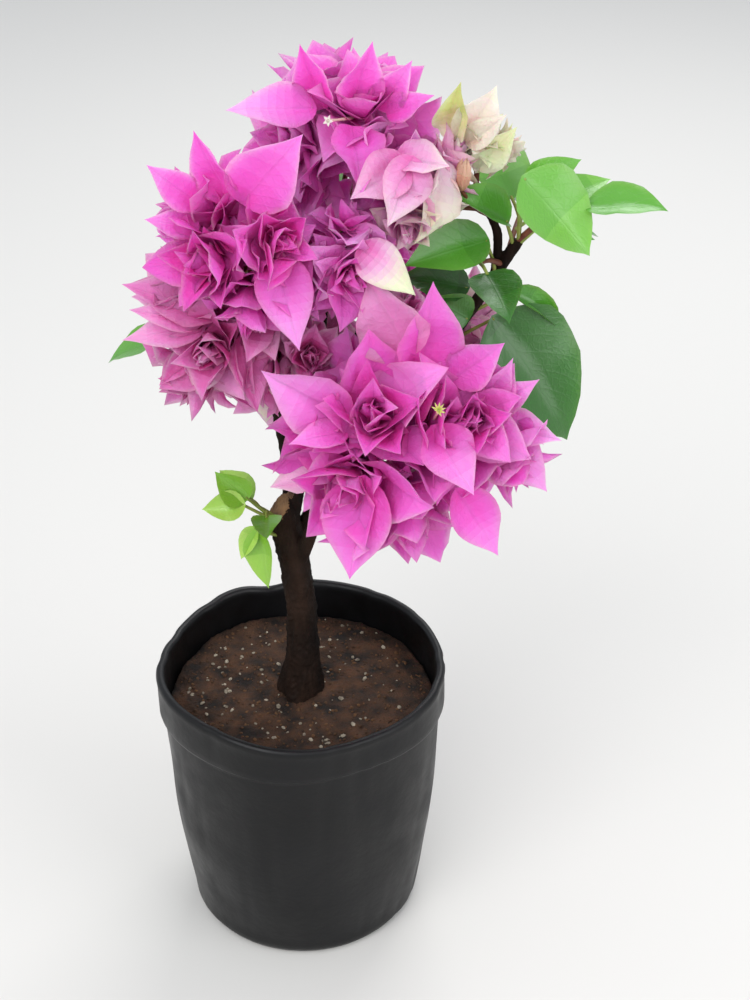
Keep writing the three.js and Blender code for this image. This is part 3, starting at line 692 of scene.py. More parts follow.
@dataclass
class Pot:
    """The soft nursery pot: a folded cuff stands out round its top, and its rim rises and dips."""

    ground = 107.5
    height: float = 122
    foot_radius: float = 49
    rim_radius: float = 58
    belly: float = 2.2
    wall: float = 1.8
    cuff_depth: float = 17
    cuff_proud: float = 1.9
    foot_round: float = 4
    round_waves: tuple[Point, ...] = ((3, 0.014, 0.6), (5, 0.01, 2))
    rim_waves: tuple[Point, ...] = ((2, 1.1, -1.17), (3, 0.8, 0.63))
    pleat: Point = (1.83, 0.16, 3.2)
    dents: float = 0.7
    folds: float = 1.2
    least_reach: float = 40
    sides: int = 180
    step: float = 2.6

    def radius(self, z: float) -> float:
        """Work out the outer radius of the wall.

        Args:
            z: A height.

        Returns:
            The radius there.
        """
        up = z / self.height
        swell = self.belly * math.sin(math.pi * up)
        return self.foot_radius + (self.rim_radius - self.foot_radius) * up + swell

    def softened(self, places: np.ndarray, rim_follows: bool) -> np.ndarray:
        """Bend points out of round, and raise and dip the top.

        Args:
            places: The points of a turned shape.
            rim_follows: Whether the top follows the rim's waves.

        Returns:
            The moved points.
        """
        turn = np.arctan2(places[:, 1], places[:, 0])
        up = places[:, 2] / self.height
        waves = sum(size * np.cos(count * turn + start) for count, size, start in self.round_waves)
        bent = places.copy()
        bent[:, :2] *= (1 + waves * np.minimum(1, up * 3))[:, None]
        if rim_follows:
            start, width, depth = self.pleat
            lift = sum(size * np.cos(count * turn + begin) for count, size, begin in self.rim_waves)
            lift = lift - depth * np.exp(-(((turn - start) / width) ** 2))
            share = np.clip((up - 0.8) / 0.17, 0, 1)
            bent[:, 2] += lift * share**2 * (3 - 2 * share)
        return bent

    def turned(self, profile: list[tuple[float, float]], rim_follows: bool) -> Arrays:
        """Turn a profile into a closed soft shape.

        Args:
            profile: Radius and height pairs, from the axis underneath to the axis on top.
            rim_follows: Whether the top follows the rim's waves.

        Returns:
            The points and the triangles.
        """
        rings, sides = profile[1:-1], self.sides
        turns = np.arange(sides) * 2 * math.pi / sides
        places = [np.stack([r * np.cos(turns), r * np.sin(turns), np.full(sides, z)], 1) for r, z in rings]
        points = np.vstack([*places, [[0, 0, profile[0][1]]], [[0, 0, profile[-1][1]]]])
        return self.softened(points, rim_follows), ring_corners(len(rings), sides)

    def filled_in(self, profile: list[tuple[float, float]]) -> list[tuple[float, float]]:
        """Add points to a profile, so that none are further apart than the step.

        Args:
            profile: Radius and height pairs.

        Returns:
            The denser profile.
        """
        dense = [profile[0]]
        for (r0, z0), (r1, z1) in zip(profile, profile[1:]):
            parts = max(1, math.ceil(math.hypot(r1 - r0, z1 - z0) / self.step))
            dense += [(r0 + (r1 - r0) * i / parts, z0 + (z1 - z0) * i / parts) for i in range(1, parts + 1)]
        return dense

    def creased(self, places: np.ndarray) -> np.ndarray:
        """Press soft dents and folds into the wall, always inwards.

        Args:
            places: The pot's points.

        Returns:
            The moved points.
        """
        turn, reach = np.arctan2(places[:, 1], places[:, 0]), np.hypot(places[:, 0], places[:, 1])
        up = places[:, 2] / self.height
        press = np.zeros(len(places))
        for i, z in enumerate(places[:, 2]):
            east, north = math.cos(turn[i]), math.sin(turn[i])
            broad = noise.noise(Vector((east * 1.6, north * 1.6, z * 0.03)))
            folds = noise.noise(Vector((east * 7, north * 7, z * 0.02 + 9)))
            press[i] = self.dents * (0.5 + broad) + self.folds * max(0.0, folds) ** 1.4
        in_cuff = up > 1 - self.cuff_depth / self.height
        press = press * np.where(in_cuff, 1.0, 0.9) * np.clip(up / 0.08, 0, 1)
        moved = places.copy()
        wall = reach > self.least_reach
        moved[wall, :2] *= (1 - press[wall] / reach[wall])[:, None]
        return moved

    def build(self, palette: Palette) -> Piece:
        """Build the pot's piece.

        Args:
            palette: The plant's materials.

        Returns:
            The piece.
        """
        height, wall, proud = self.height, self.wall, self.cuff_proud
        foot = self.foot_radius - self.foot_round
        cuff_foot = height - self.cuff_depth
        under, rim = self.radius(cuff_foot), self.radius(height)
        profile = [
            (0, 0.0),
            (foot, 0.0),
            (self.radius(1.2) - 1.4, 1.2),
            (self.radius(self.foot_round), self.foot_round),
            *[(self.radius(z), z) for z in np.arange(8.0, cuff_foot - 1, 4.0)],
            (under, cuff_foot - 0.2),
            (under + proud * 0.85, cuff_foot + 0.1),
            (under + proud, cuff_foot + 0.9),
            (rim + proud * 0.8, height - 5),
            (rim + proud, height - 1.8),
            (rim + proud * 0.7, height - 0.4),
            (rim + proud * 0.1, height),
            (rim - wall * 0.6, height - 0.4),
            (rim - wall, height - 1.8),
            *[(self.radius(z) - wall, z) for z in np.arange(height - 6, 8.0, -4.0)],
            (self.radius(self.foot_round) - wall, self.foot_round + wall),
            (foot - wall, wall),
            (0, wall),
        ]
        places, corners = self.turned(self.filled_in(profile), True)
        skin = Skin()
        skin.add(self.creased(places), corners)
        return skin.piece("soft_pot", [palette.plain[Finish.POT]])


class Stones(Enum):
    """What lies on the soil: a piece's name, stones to a square metre, their radii, finish and seed."""

    CRUMBS = ("soil_crumbs", 90000.0, (0.35, 1.1), Finish.CRUMBS, 3)
    GRIT = ("soil_grit", 16000.0, (0.4, 1.3), Finish.GRIT, 11)


@dataclass
class Soil:
    """The potting soil: a low mound with crumbs and pale grit on it."""

    pot: Pot
    edge: float = 105
    gap: float = 1.3
    lumps: float = 1.5
    foot: float = 3.0
    rings: int = 44
    patch_steps: int = 60
    clear_of_trunk: float = 8

    def height_at(self, x: float, y: float) -> float:
        """Give the soil's height at a place.

        Args:
            x: The place, to the right of the pot's axis.
            y: The place, behind the pot's axis.

        Returns:
            The height, in millimetres.
        """
        reach = math.hypot(x, y) / self.pot.radius(self.edge)
        mound = self.edge + (self.pot.ground - 0.35 - self.edge) * (1 - min(1, reach) ** 2)
        broad = noise.fractal(Vector((x * 0.07, y * 0.07, 3.0)), 1.0, 2.0, 5)
        fine = noise.noise(Vector((x * 0.45, y * 0.45, 8.0)))
        return mound + self.lumps * (broad * 0.8 + fine * 0.45) - 0.4

    def build(self, palette: Palette) -> Piece:
        """Build the soil's piece.

        Args:
            palette: The plant's materials.

        Returns:
            The piece.
        """
        pot, edge = self.pot, self.edge
        inner = pot.radius(edge) - pot.wall - self.gap
        rings = [(inner * (1 - i / self.rings), edge) for i in range(self.rings + 1)]
        side = [(pot.radius(z) - pot.wall - self.gap, float(z)) for z in np.arange(10, edge - 3, 8)]
        foot = pot.foot_radius - pot.foot_round - self.foot
        places, corners = pot.turned([(0, self.foot), (foot, self.foot), *side, *rings], False)
        for i in np.nonzero(places[:, 2] > edge - 0.01)[0]:
            places[i, 2] = self.height_at(places[i, 0], places[i, 1])
        skin = Skin()
        skin.add(places, corners)
        return skin.piece("soil_body", [palette.plain[Finish.SOIL]])

    def top_patch(self, name: str) -> Piece:
        """Build the open patch of soil that stones are strewn on.

        Args:
            name: The piece's name.

        Returns:
            The piece.
        """
        steps, reach = self.patch_steps, self.pot.radius(self.edge) - self.pot.wall - 4
        grid = np.linspace(-reach, reach, steps)
        places = np.array([[x, y, self.height_at(x, y)] for y in grid for x in grid])
        row, column = np.meshgrid(np.arange(steps - 1), np.arange(steps - 1), indexing="ij")
        a = (row * steps + column).ravel()
        halves = [(a, a + 1, a + steps + 1), (a, a + steps + 1, a + steps)]
        corners = np.vstack([np.stack(half, 1) for half in halves])
        middles = places[corners].mean(axis=1)
        away = np.hypot(middles[:, 0], middles[:, 1])
        skin = Skin()
        skin.add(places, corners[(away < reach) & (away > self.clear_of_trunk)])
        return skin.piece(name, [])

    def strewn(self, stones: Stones, palette: Palette) -> Piece:
        """Strew small stones over the soil with a Geometry Nodes tree.

        Args:
            stones: Which stones.
            palette: The plant's materials.

        Returns:
            The piece, as a plain mesh.
        """
        name, density, (least, largest), finish, seed = stones.value
        values = {"Smallest": least * MM, "Largest": largest * MM, "Finish": palette.plain[finish]}
        return grown(self.top_patch(name), strewing_tree(), {"Density": density, "Seed": seed, **values})


def grown(piece: Piece, tree: bpy.types.NodeTree, values: dict[str, object]) -> Piece:
    """Run a Geometry Nodes tree on a piece, and keep what comes out as its plain mesh.

    Args:
        piece: The piece.
        tree: The tree.
        values: A value for each of its inputs, set by the socket's identifier.

    Returns:
        The same piece.
    """
    modifier = piece.modifiers.new(tree.name, "NODES")
    modifier.node_group = tree
    for socket in tree.interface.items_tree:
        if socket.item_type == "SOCKET" and socket.in_out == "INPUT" and socket.name in values:
            modifier[socket.identifier] = values[socket.name]
    return plain_mesh(piece)


def strewing_tree() -> bpy.types.NodeTree:
    """Build the tree that strews stones of many sizes over a surface.

    Returns:
        The tree.
    """
    inputs = {
        "Geometry": "Geometry", "Density": "Float", "Smallest": "Float", "Largest": "Float",
        "Seed": "Int", "Finish": "Material",
    }
    nodes, start, end = node_group("GeometryNodeTree", "Strewn stones", inputs, {"Geometry": "Geometry"})
    surface, density, least, largest, seed, look = (start.outputs[label] for label in inputs)
    spots = nodes.add("GeometryNodeDistributePointsOnFaces", Mesh=surface, Density=density, Seed=seed)
    stone = nodes.add("GeometryNodeMeshIcoSphere", Radius=1.0, Subdivisions=1)
    squash = nodes.add("FunctionNodeRandomValue", {"data_type": "FLOAT_VECTOR"}, Seed=seed)
    squash.inputs[0].default_value = (0.7, 0.6, 0.45)
    squash.inputs[1].default_value = (1.3, 1.0, 0.8)
    size = nodes.add("FunctionNodeRandomValue", {"data_type": "FLOAT"}, Seed=seed)
    nodes.feed(size.inputs[2], least)
    nodes.feed(size.inputs[3], largest)
    scaled = nodes.add("ShaderNodeVectorMath", {"operation": "SCALE"})
    nodes.feed(scaled.inputs[0], squash.outputs[0])
    nodes.feed(scaled.inputs["Scale"], size.outputs[1])
    spin = nodes.add("FunctionNodeRandomValue", {"data_type": "FLOAT_VECTOR"}, Seed=seed)
    spin.inputs[1].default_value = (0.6, 0.6, 6.28)
    placed = nodes.add(
        "GeometryNodeInstanceOnPoints", Points=spots.outputs["Points"], Instance=stone.outputs["Mesh"],
        Rotation=spin.outputs[0], Scale=scaled.outputs[0],
    )
    whole = nodes.add("GeometryNodeRealizeInstances", Geometry=placed.outputs[0])
    finish = nodes.add("GeometryNodeSetMaterial", Geometry=whole.outputs[0], Material=look)
    nodes.feed(end.inputs[0], finish.outputs[0])
    return nodes.tree


def tube_tree() -> bpy.types.NodeTree:
    """Build the tree that wraps tubes round lines, as thick as their points' girth says.

    Returns:
        The tree.
    """
    inputs = {"Geometry": "Geometry", "Sides": "Int", "Thickness": "Float", "Finish": "Material"}
    nodes, start, end = node_group("GeometryNodeTree", "Tubes on lines", inputs, {"Geometry": "Geometry"})
    wires, sides, thickness, look = (start.outputs[label] for label in inputs)
    lines = nodes.add("GeometryNodeMeshToCurve", Mesh=wires)
    girth = nodes.add("GeometryNodeInputNamedAttribute", {"data_type": "FLOAT"}, Name="girth")
    thick = nodes.sum("MULTIPLY", girth.outputs[0], thickness)
    swollen = nodes.add("GeometryNodeSetCurveRadius", Curve=lines.outputs[0], Radius=thick)
    ring = nodes.add("GeometryNodeCurvePrimitiveCircle", Resolution=sides, Radius=1.0)
    tubes = nodes.add(
        "GeometryNodeCurveToMesh", Curve=swollen.outputs[0], Profile_Curve=ring.outputs[0], Fill_Caps=True
    )
    if "Scale" in tubes.inputs:
        nodes.feed(tubes.inputs["Scale"], nodes.add("GeometryNodeInputRadius").outputs[0])
    whole = nodes.add("GeometryNodeRealizeInstances", Geometry=tubes.outputs[0])
    finish = nodes.add("GeometryNodeSetMaterial", Geometry=whole.outputs[0], Material=look)
    nodes.feed(end.inputs[0], finish.outputs[0])
    return nodes.tree


# The wood.


@dataclass(frozen=True)
class Bough:
    """A bough: its parent, where it starts on it, its line above the ground and its end radii."""

    name: str
    parent: str
    share: float
    line: tuple[Point, ...]
    radii: tuple[float, float]


BOUGHS = (
    Bough(
        "bough_right", "trunk", 0.7,
        ((13, 12, 94), (34, 15, 122), (57, 9, 155), (73, 8, 180), (83, 6, 198)), (3.7, 2.1),
    ),
    Bough("bough_right_fork", "bough_right", 0.9, ((75, 8, 202), (67, 8, 214)), (1.8, 1.3)),
    Bough(
        "bough_centre", "trunk", 0.8,
        ((3, 7, 108), (8, 10, 142), (13, 13, 178), (17, 16, 206)), (3.3, 1.7),
    ),
    Bough("bough_left", "bough_centre", 0.3, ((-6, 4, 132), (-14, -2, 162), (-18, -8, 190)), (2.4, 1.5)),
    Bough("bough_left_low", "bough_left", 0.42, ((-19, 6, 150), (-26, 5, 162)), (1.8, 1.3)),
    Bough("bough_front", "trunk", 0.63, ((9, -10, 90), (20, -21, 112), (30, -28, 131)), (3, 1.8)),
    Bough("bough_front_right", "bough_front", 0.55, ((38, -16, 118), (56, -19, 130)), (2, 1.4)),
    Bough("bough_back", "trunk", 0.67, ((-4, 17, 100), (-11, 31, 132), (-18, 38, 154)), (3.1, 1.7)),
    Bough("bough_back_right", "bough_back", 0.3, ((12, 36, 118), (26, 45, 144), (31, 49, 158)), (2.4, 1.5)),
    Bough("bough_back_low", "bough_back", 0.5, ((-10, 44, 116), (-10, 51, 122)), (1.9, 1.4)),
)


@dataclass
class Wood:
    """The trunk and its boughs as one skin with the relief of bark."""

    trunk_line: tuple[Point, ...] = (
        (-0.3, 0, -6), (0.2, 0, 8), (1, 0.4, 32), (-0.5, 0.8, 58), (-4, 1, 78), (-9.5, 1, 95),
    )
    trunk_radii: tuple[float, ...] = (10.5, 6.8, 5.9, 5.8, 6.1, 5.7)
    cut_point: Point = (-7, 1, 87)
    cut_normal: Point = (-0.72, -0.25, 0.64)
    cut_middle: Point = (-8.5, 1, 88)
    cut_reach: float = 11.0
    cut_depth: float = 0.9
    cut_facing: float = 0.7
    sunk: float = 3.0
    trunk_mesh: tuple[int, int] = (70, 56)
    bough_sides: int = 20
    node_gap: float = 14
    node_swell: float = 0.09
    voxel: float = 0.48
    relief: float = 0.62
    bark_mix: Point = (1.4, 0.6, 1.6)

    def __post_init__(self) -> None:
        """Work out every limb's curve."""
        self.lines = {"trunk": Line([above_ground(p) for p in self.trunk_line])}
        self.radii: dict[str, tuple[float, ...]] = {"trunk": self.trunk_radii}
        for bough in BOUGHS:
            start = self.lines[bough.parent].at(bough.share)
            self.lines[bough.name] = Line([start, *[above_ground(p) for p in bough.line]])
            self.radii[bough.name] = bough.radii

    def radius_at(self, limb: str, share: float) -> float:
        """Give a limb's radius a share of the way along."""
        radii = self.radii[limb]
        return float(np.interp(share, np.linspace(0, 1, len(radii)), radii))

    def probes(self) -> Arrays:
        """List points along every limb, for keeping blades clear.

        Returns:
            The points, and the limb's radius at each.
        """
        places, radii = [], []
        for name, line in self.lines.items():
            for share in np.linspace(0, 1, max(4, int(line.lengths[-1] / 2))):
                places.append(line.at(share))
                radii.append(self.radius_at(name, share))
        return np.array(places), np.array(radii)

    def trunk_shape(self) -> Arrays:
        """Shape the trunk with its root flare and the ribs of its bark.

        Returns:
            The points and the triangles.
        """
        rings, sides = self.trunk_mesh
        shares = np.linspace(0, 1, rings + 1)[:, None]
        turns = (np.arange(sides) * 2 * math.pi / sides)[None]
        radii = np.interp(shares, np.linspace(0, 1, len(self.trunk_radii)), self.trunk_radii)
        flare = 0.12 * np.cos(4 * turns + 0.9) * np.exp(-shares * 14)
        ribs = 0.045 * np.cos(3 * turns + shares * 5)
        return tube(self.lines["trunk"], radii * (1 + flare + ribs), rings, sides)

    def bough_shapes(self) -> Skin:
        """Shape the boughs, each slightly swollen at its nodes.

        Returns:
            The skin of all the boughs.
        """
        skin = Skin()
        for bough in BOUGHS:
            line = self.lines[bough.name]
            rings = max(10, int(line.lengths[-1] / 2.5))
            shares = np.linspace(0, 1, rings + 1)
            radii = np.array([self.radius_at(bough.name, s) for s in shares])
            radii[0] = radii[0] * 1.15
            waves = np.cos(shares * line.lengths[-1] / self.node_gap * 2 * math.pi)
            swollen = radii * (1 + self.node_swell * np.maximum(0, waves) ** 6)
            skin.add(*tube(line, swollen, rings, self.bough_sides))
        return skin

    def sawn(self, shape: bmesh.types.BMesh) -> None:
        """Saw the trunk off level in the soil and at a slant on top, and close the cuts.

        Args:
            shape: The trunk.
        """
        cuts = [
            (above_ground(self.cut_point) * MM, unit(np.array(self.cut_normal))),
            (np.array([0, 0, (Pot.ground - self.sunk) * MM]), -UP),
        ]
        for point, way in cuts:
            geometry = shape.verts[:] + shape.edges[:] + shape.faces[:]
            cut = bmesh.ops.bisect_plane(
                shape, geom=geometry, plane_co=Vector(point), plane_no=Vector(way), clear_outer=True
            )
            rim = [e for e in cut["geom_cut"] if isinstance(e, bmesh.types.BMEdge)]
            bmesh.ops.triangle_fill(shape, edges=rim, use_beauty=True)
        bmesh.ops.recalc_face_normals(shape, faces=shape.faces)

    def on_cut(self, places: np.ndarray, normals: np.ndarray) -> np.ndarray:
        """Say which places lie on the trunk's slanting cut.

        Args:
            places: Places on the skin.
            normals: The skin's normals there.

        Returns:
            True or False for each place.
        """
        way, away = unit(np.array(self.cut_normal)), places - above_ground(self.cut_point)
        near = np.linalg.norm(places - above_ground(self.cut_middle), axis=1) < self.cut_reach
        return (np.abs(away @ way) < self.cut_depth) & (normals @ way > self.cut_facing) & near

    def barked(self, places: np.ndarray, normals: np.ndarray) -> np.ndarray:
        """Raise ridges, flakes and leaf scars on the skin.

        Args:
            places: The points of the skin.
            normals: Their normals.

        Returns:
            The moved points.
        """
        middles, radii = self.probes()
        cut_middle, on_cut = above_ground(self.cut_middle), self.on_cut(places, normals)
        lift, (ridged, flaked, warted) = np.zeros(len(places)), self.bark_mix
        for i, place in enumerate(places):
            near = int(np.argmin(((middles - place) ** 2).sum(1)))
            thick = min(1.0, radii[near] / 6)
            x, y, z = place
            ridges = noise.fractal(Vector((x * 0.35, y * 0.35, z * 0.09)), 1.0, 2.0, 3)
            flakes = noise.noise(Vector((x * 1.1, y * 1.1, z * 0.5 + 5)))
            warts = max(0.0, noise.noise(Vector((x * 0.5 + 20, y * 0.5, z * 0.5))) - 0.25)
            lift[i] = self.relief * thick * (ridged * ridges + flaked * flakes + warted * warts)
            if on_cut[i]:
                lift[i] = 0.12 * math.sin(float(np.linalg.norm(place - cut_middle)) * 5) + 0.15 * flakes
        return places + normals * lift[:, None]

    def build(self, palette: Palette) -> Piece:
        """Build the wood's piece.

        Args:
            palette: The plant's materials.

        Returns:
            The piece.
        """
        trunk = Skin()
        trunk.add(*self.trunk_shape())
        piece, boughs = trunk.piece("wood", []), self.bough_shapes().piece("boughs", [])
        shape = bmesh.new()
        shape.from_mesh(piece.data)
        self.sawn(shape)
        shape.from_mesh(boughs.data)
        shape.to_mesh(piece.data)
        shape.free()
        bpy.data.objects.remove(boughs)
        remesh = piece.modifiers.new("One skin", "REMESH")
        remesh.mode = "VOXEL"
        remesh.voxel_size = self.voxel * MM
        mesh = plain_mesh(piece).data
        places, normals = vectors(mesh.vertices, "co") / MM, vectors(mesh.vertices, "normal")
        moved = self.barked(places, normals) * MM
        mesh.vertices.foreach_set("co", moved.astype(np.float32).ravel())
        mesh.update()
        self.paint_cut(mesh, palette)
        return piece

    def paint_cut(self, mesh: bpy.types.Mesh, palette: Palette) -> None:
        """Give the sawn face its own finish, and the rest the bark.

        Args:
            mesh: The wood's mesh.
            palette: The plant's materials.
        """
        mesh.materials.clear()
        for finish in (Finish.BARK, Finish.CUT_WOOD):
            mesh.materials.append(palette.plain[finish])
        faces = mesh.polygons
        on_cut = self.on_cut(vectors(faces, "center") / MM, vectors(faces, "normal"))
        faces.foreach_set("material_index", on_cut.astype(np.int32))
        faces.foreach_set("use_smooth", np.ones(len(faces), bool))


# Flower heads and sprays of leaves.


class Patch(Enum):
    """The joined pieces of bracts and leaves: each one's name and its colour family."""

    UPPER = ("bracts_upper", Family.BRIGHT)
    FRONT = ("bracts_front", Family.BRIGHT)
    BACK = ("bracts_back", Family.BRIGHT)
    FADED_UPPER = ("bracts_faded_upper", Family.FADED)
    FADED_LEFT = ("bracts_faded_left", Family.FADED)
    FADED_BACK = ("bracts_faded_back", Family.FADED)
    YOUNG = ("bracts_young", Family.YOUNG)
    LEAVES_RIGHT = ("leaves_right", Family.LEAF)
    LEAVES_BACK = ("leaves_rear", Family.LEAF)
    SHOOT = ("leaves_shoot", Family.LEAF_YOUNG)

    @property
    def label(self) -> str:
        """Give the piece's name."""
        return self.value[0]

    @property
    def family(self) -> Family:
        """Give the piece's colour family."""
        return self.value[1]


@dataclass(frozen=True)
class Head:
    """A flower head: its bough, middle above ground, the way it faces, radius, rosettes and paleness."""

    name: str
    bough: str
    share: float
    middle: Point
    faces: Point
    radius: float
    rosettes: int
    patch: Patch
    # Paleness is mostly a head's own tint; bloom_centre's is partly painted light and bloom_left_low's
    # partly painted shade.
    pale: float = 0.0


HEADS = (
    Head("bloom_top", "bough_centre", 1, (20, 10, 238), (-0.1, -0.7, 0.7), 40, 4, Patch.UPPER, 0.16),
    Head(
        "bloom_upper_right", "bough_right_fork", 0.82, (45, -6, 225), (0.2, -0.8, 0.5),
        28, 3, Patch.FADED_UPPER, 0.12,
    ),
    Head("bloom_young", "bough_right_fork", 1, (72, 14, 236), (0.5, -0.4, 0.8), 16, 2, Patch.YOUNG, 0.1),
    Head("bloom_left", "bough_left", 1, (-18, -28, 212), (-0.3, -0.85, 0.4), 37, 4, Patch.UPPER),
    # bloom_centre's paleness of 0.16 is partly painted light, lifting it out of the shade that the top head
    # casts.
    Head("bloom_centre", "bough_centre", 0.7, (18, -24, 206), (0.25, -0.85, 0.45), 28, 3, Patch.UPPER, 0.16),
    # bloom_left_low's paleness of -0.18 darkens its tints: painted shade from the heads above, with a deeper
    # dusty pink of its own.
    Head(
        "bloom_left_low", "bough_left_low", 1, (-32, -16, 172), (-0.6, -0.75, 0.1),
        36, 4, Patch.FADED_LEFT, -0.18,
    ),
    Head(
        "bloom_inner", "bough_centre", 0.42, (2, -20, 160), (-0.15, -0.95, 0.2),
        27, 3, Patch.FADED_LEFT, -0.16,
    ),
    Head("bloom_front", "bough_front", 1, (32, -46, 144), (-0.1, -0.9, 0.35), 46, 5, Patch.FRONT, 0.02),
    Head(
        "bloom_front_right", "bough_front_right", 1, (72, -36, 146), (0.5, -0.8, 0.2),
        38, 3, Patch.FRONT, 0.08,
    ),
    Head(
        "bloom_front_upper", "bough_right", 0.5, (48, -16, 170), (0, -0.8, 0.6),
        27, 3, Patch.FADED_UPPER, -0.06,
    ),
    Head("bloom_back_left", "bough_back", 1, (-26, 50, 178), (-0.5, 0.8, 0.35), 39, 4, Patch.BACK),
    Head(
        "bloom_back_right", "bough_back_right", 1, (36, 62, 174), (0.25, 0.85, 0.45),
        39, 4, Patch.BACK, 0.05,
    ),
    Head("bloom_back_low", "bough_back_low", 1, (-6, 66, 130), (-0.1, 0.95, -0.1), 35, 3, Patch.FADED_BACK),
    Head(
        "bloom_right_back", "bough_right", 0.62, (70, 42, 144), (0.5, 0.85, 0.15),
        33, 3, Patch.FADED_BACK, 0.1,
    ),
)


@dataclass(frozen=True)
class Spray:
    """A spray of leaves: its bough, its stem's tip above ground, and its leaves."""

    name: str
    bough: str
    share: float
    tip: Point
    leaves: int
    length: float
    droop: float
    patch: Patch


SPRAYS = (
    Spray("leaves_right_top", "bough_right", 1, (100, -2, 214), 6, 36, 0.15, Patch.LEAVES_RIGHT),
    Spray("leaves_right_low", "bough_right", 0.76, (88, 2, 164), 4, 56, 0.8, Patch.LEAVES_RIGHT),
    Spray("leaves_middle", "bough_right", 0.93, (66, -8, 194), 4, 38, 0.2, Patch.LEAVES_RIGHT),
    Spray("leaves_right_back", "bough_right", 0.95, (88, 40, 198), 5, 38, 0.2, Patch.LEAVES_BACK),
    Spray("leaves_back_top", "bough_centre", 0.85, (30, 54, 218), 5, 38, 0.15, Patch.LEAVES_BACK),
    Spray("leaves_back", "bough_back", 0.8, (2, 80, 176), 5, 38, 0.4, Patch.LEAVES_BACK),
    Spray("leaves_left_back", "bough_left_low", 0.5, (-48, 26, 150), 4, 36, 0.3, Patch.LEAVES_BACK),
    Spray("leaves_foot_shoot", "trunk", 0.84, (-24, -5, 96), 5, 22, 0.5, Patch.SHOOT),
)


@dataclass(frozen=True)
class Form:
    """How a kind of blade is cut and bent: angles in radians, thickness in millimetres, the rest in shares.

    The outline gives the half width along the blade. The blade is folded at its midrib, its sides curl up,
    it bends up along its length, its tip turns back, and its rim waves.
    """

    outline: tuple[tuple[float, float], ...]
    columns: int
    fold: float
    cup: float
    bend: float
    reflex: float
    wave: float
    waves: float
    thickness: float


BRACT_OUTLINE = (
    (0, 0), (0.06, 0.45), (0.17, 0.82), (0.31, 1.0), (0.46, 1.0), (0.61, 0.87), (0.75, 0.6), (0.88, 0.26),
    (1, 0),
)
SHOWN_OUTLINE = (
    (0, 0), (0.04, 0.36), (0.1, 0.62), (0.18, 0.83), (0.27, 0.96), (0.36, 1.0), (0.45, 0.97), (0.54, 0.88),
    (0.62, 0.76), (0.7, 0.6), (0.78, 0.42), (0.85, 0.26), (0.91, 0.14), (0.96, 0.055), (1, 0),
)
SMALL_OUTLINE = ((0, 0), (0.12, 0.66), (0.33, 1.0), (0.57, 0.9), (0.79, 0.48), (1, 0))
LEAF_OUTLINE = (
    (0, 0), (0.03, 0.3), (0.09, 0.62), (0.18, 0.87), (0.3, 1.0), (0.42, 0.99), (0.54, 0.89), (0.66, 0.71),
    (0.77, 0.5), (0.87, 0.27), (0.94, 0.1), (1, 0),
)
NARROW_OUTLINE = ((0, 0), (0.12, 0.7), (0.35, 1.0), (0.7, 0.6), (1, 0))


class Kind(Enum):
    """The forms of blades, from the lowest bracts of a rosette to its heart, the leaves and the petals."""

    OUTER = Form(BRACT_OUTLINE, 4, 0.22, 0.24, 0.10, -0.60, 0.19, 1.3, 0.13)
    MIDDLE = Form(BRACT_OUTLINE, 4, 0.24, 0.40, 0.36, -0.75, 0.20, 1.4, 0.13)
    INNER = Form(SMALL_OUTLINE, 4, 0.28, 0.66, 0.62, -0.60, 0.17, 1.1, 0.12)
    HEART = Form(SMALL_OUTLINE, 4, 0.30, 1.20, 0.85, -0.20, 0.10, 1.0, 0.11)
    SHOWN = Form(SHOWN_OUTLINE, 8, 0.24, 0.30, 0.10, -0.30, 0.15, 1.4, 0.13)
    CURLED = Form(SHOWN_OUTLINE, 8, 0.30, 0.75, 0.25, -0.70, 0.20, 1.5, 0.13)
    BUD = Form(SMALL_OUTLINE, 4, 0.30, 1.70, 1.30, 0.05, 0.02, 0.9, 0.11)
    LEAF = Form(LEAF_OUTLINE, 8, 0.16, 0.30, -0.15, -0.40, 0.07, 1.1, 0.2)
    YOUNG_LEAF = Form(LEAF_OUTLINE, 6, 0.20, 0.60, 0.10, -0.30, 0.06, 1.0, 0.16)
    CURLED_LEAF = Form(LEAF_OUTLINE, 8, 0.35, 0.80, -0.55, -0.50, 0.06, 1.1, 0.2)
    PETAL = Form(NARROW_OUTLINE, 2, 0.10, 0.30, 0.30, -0.50, 0.0, 1.0, 0.1)


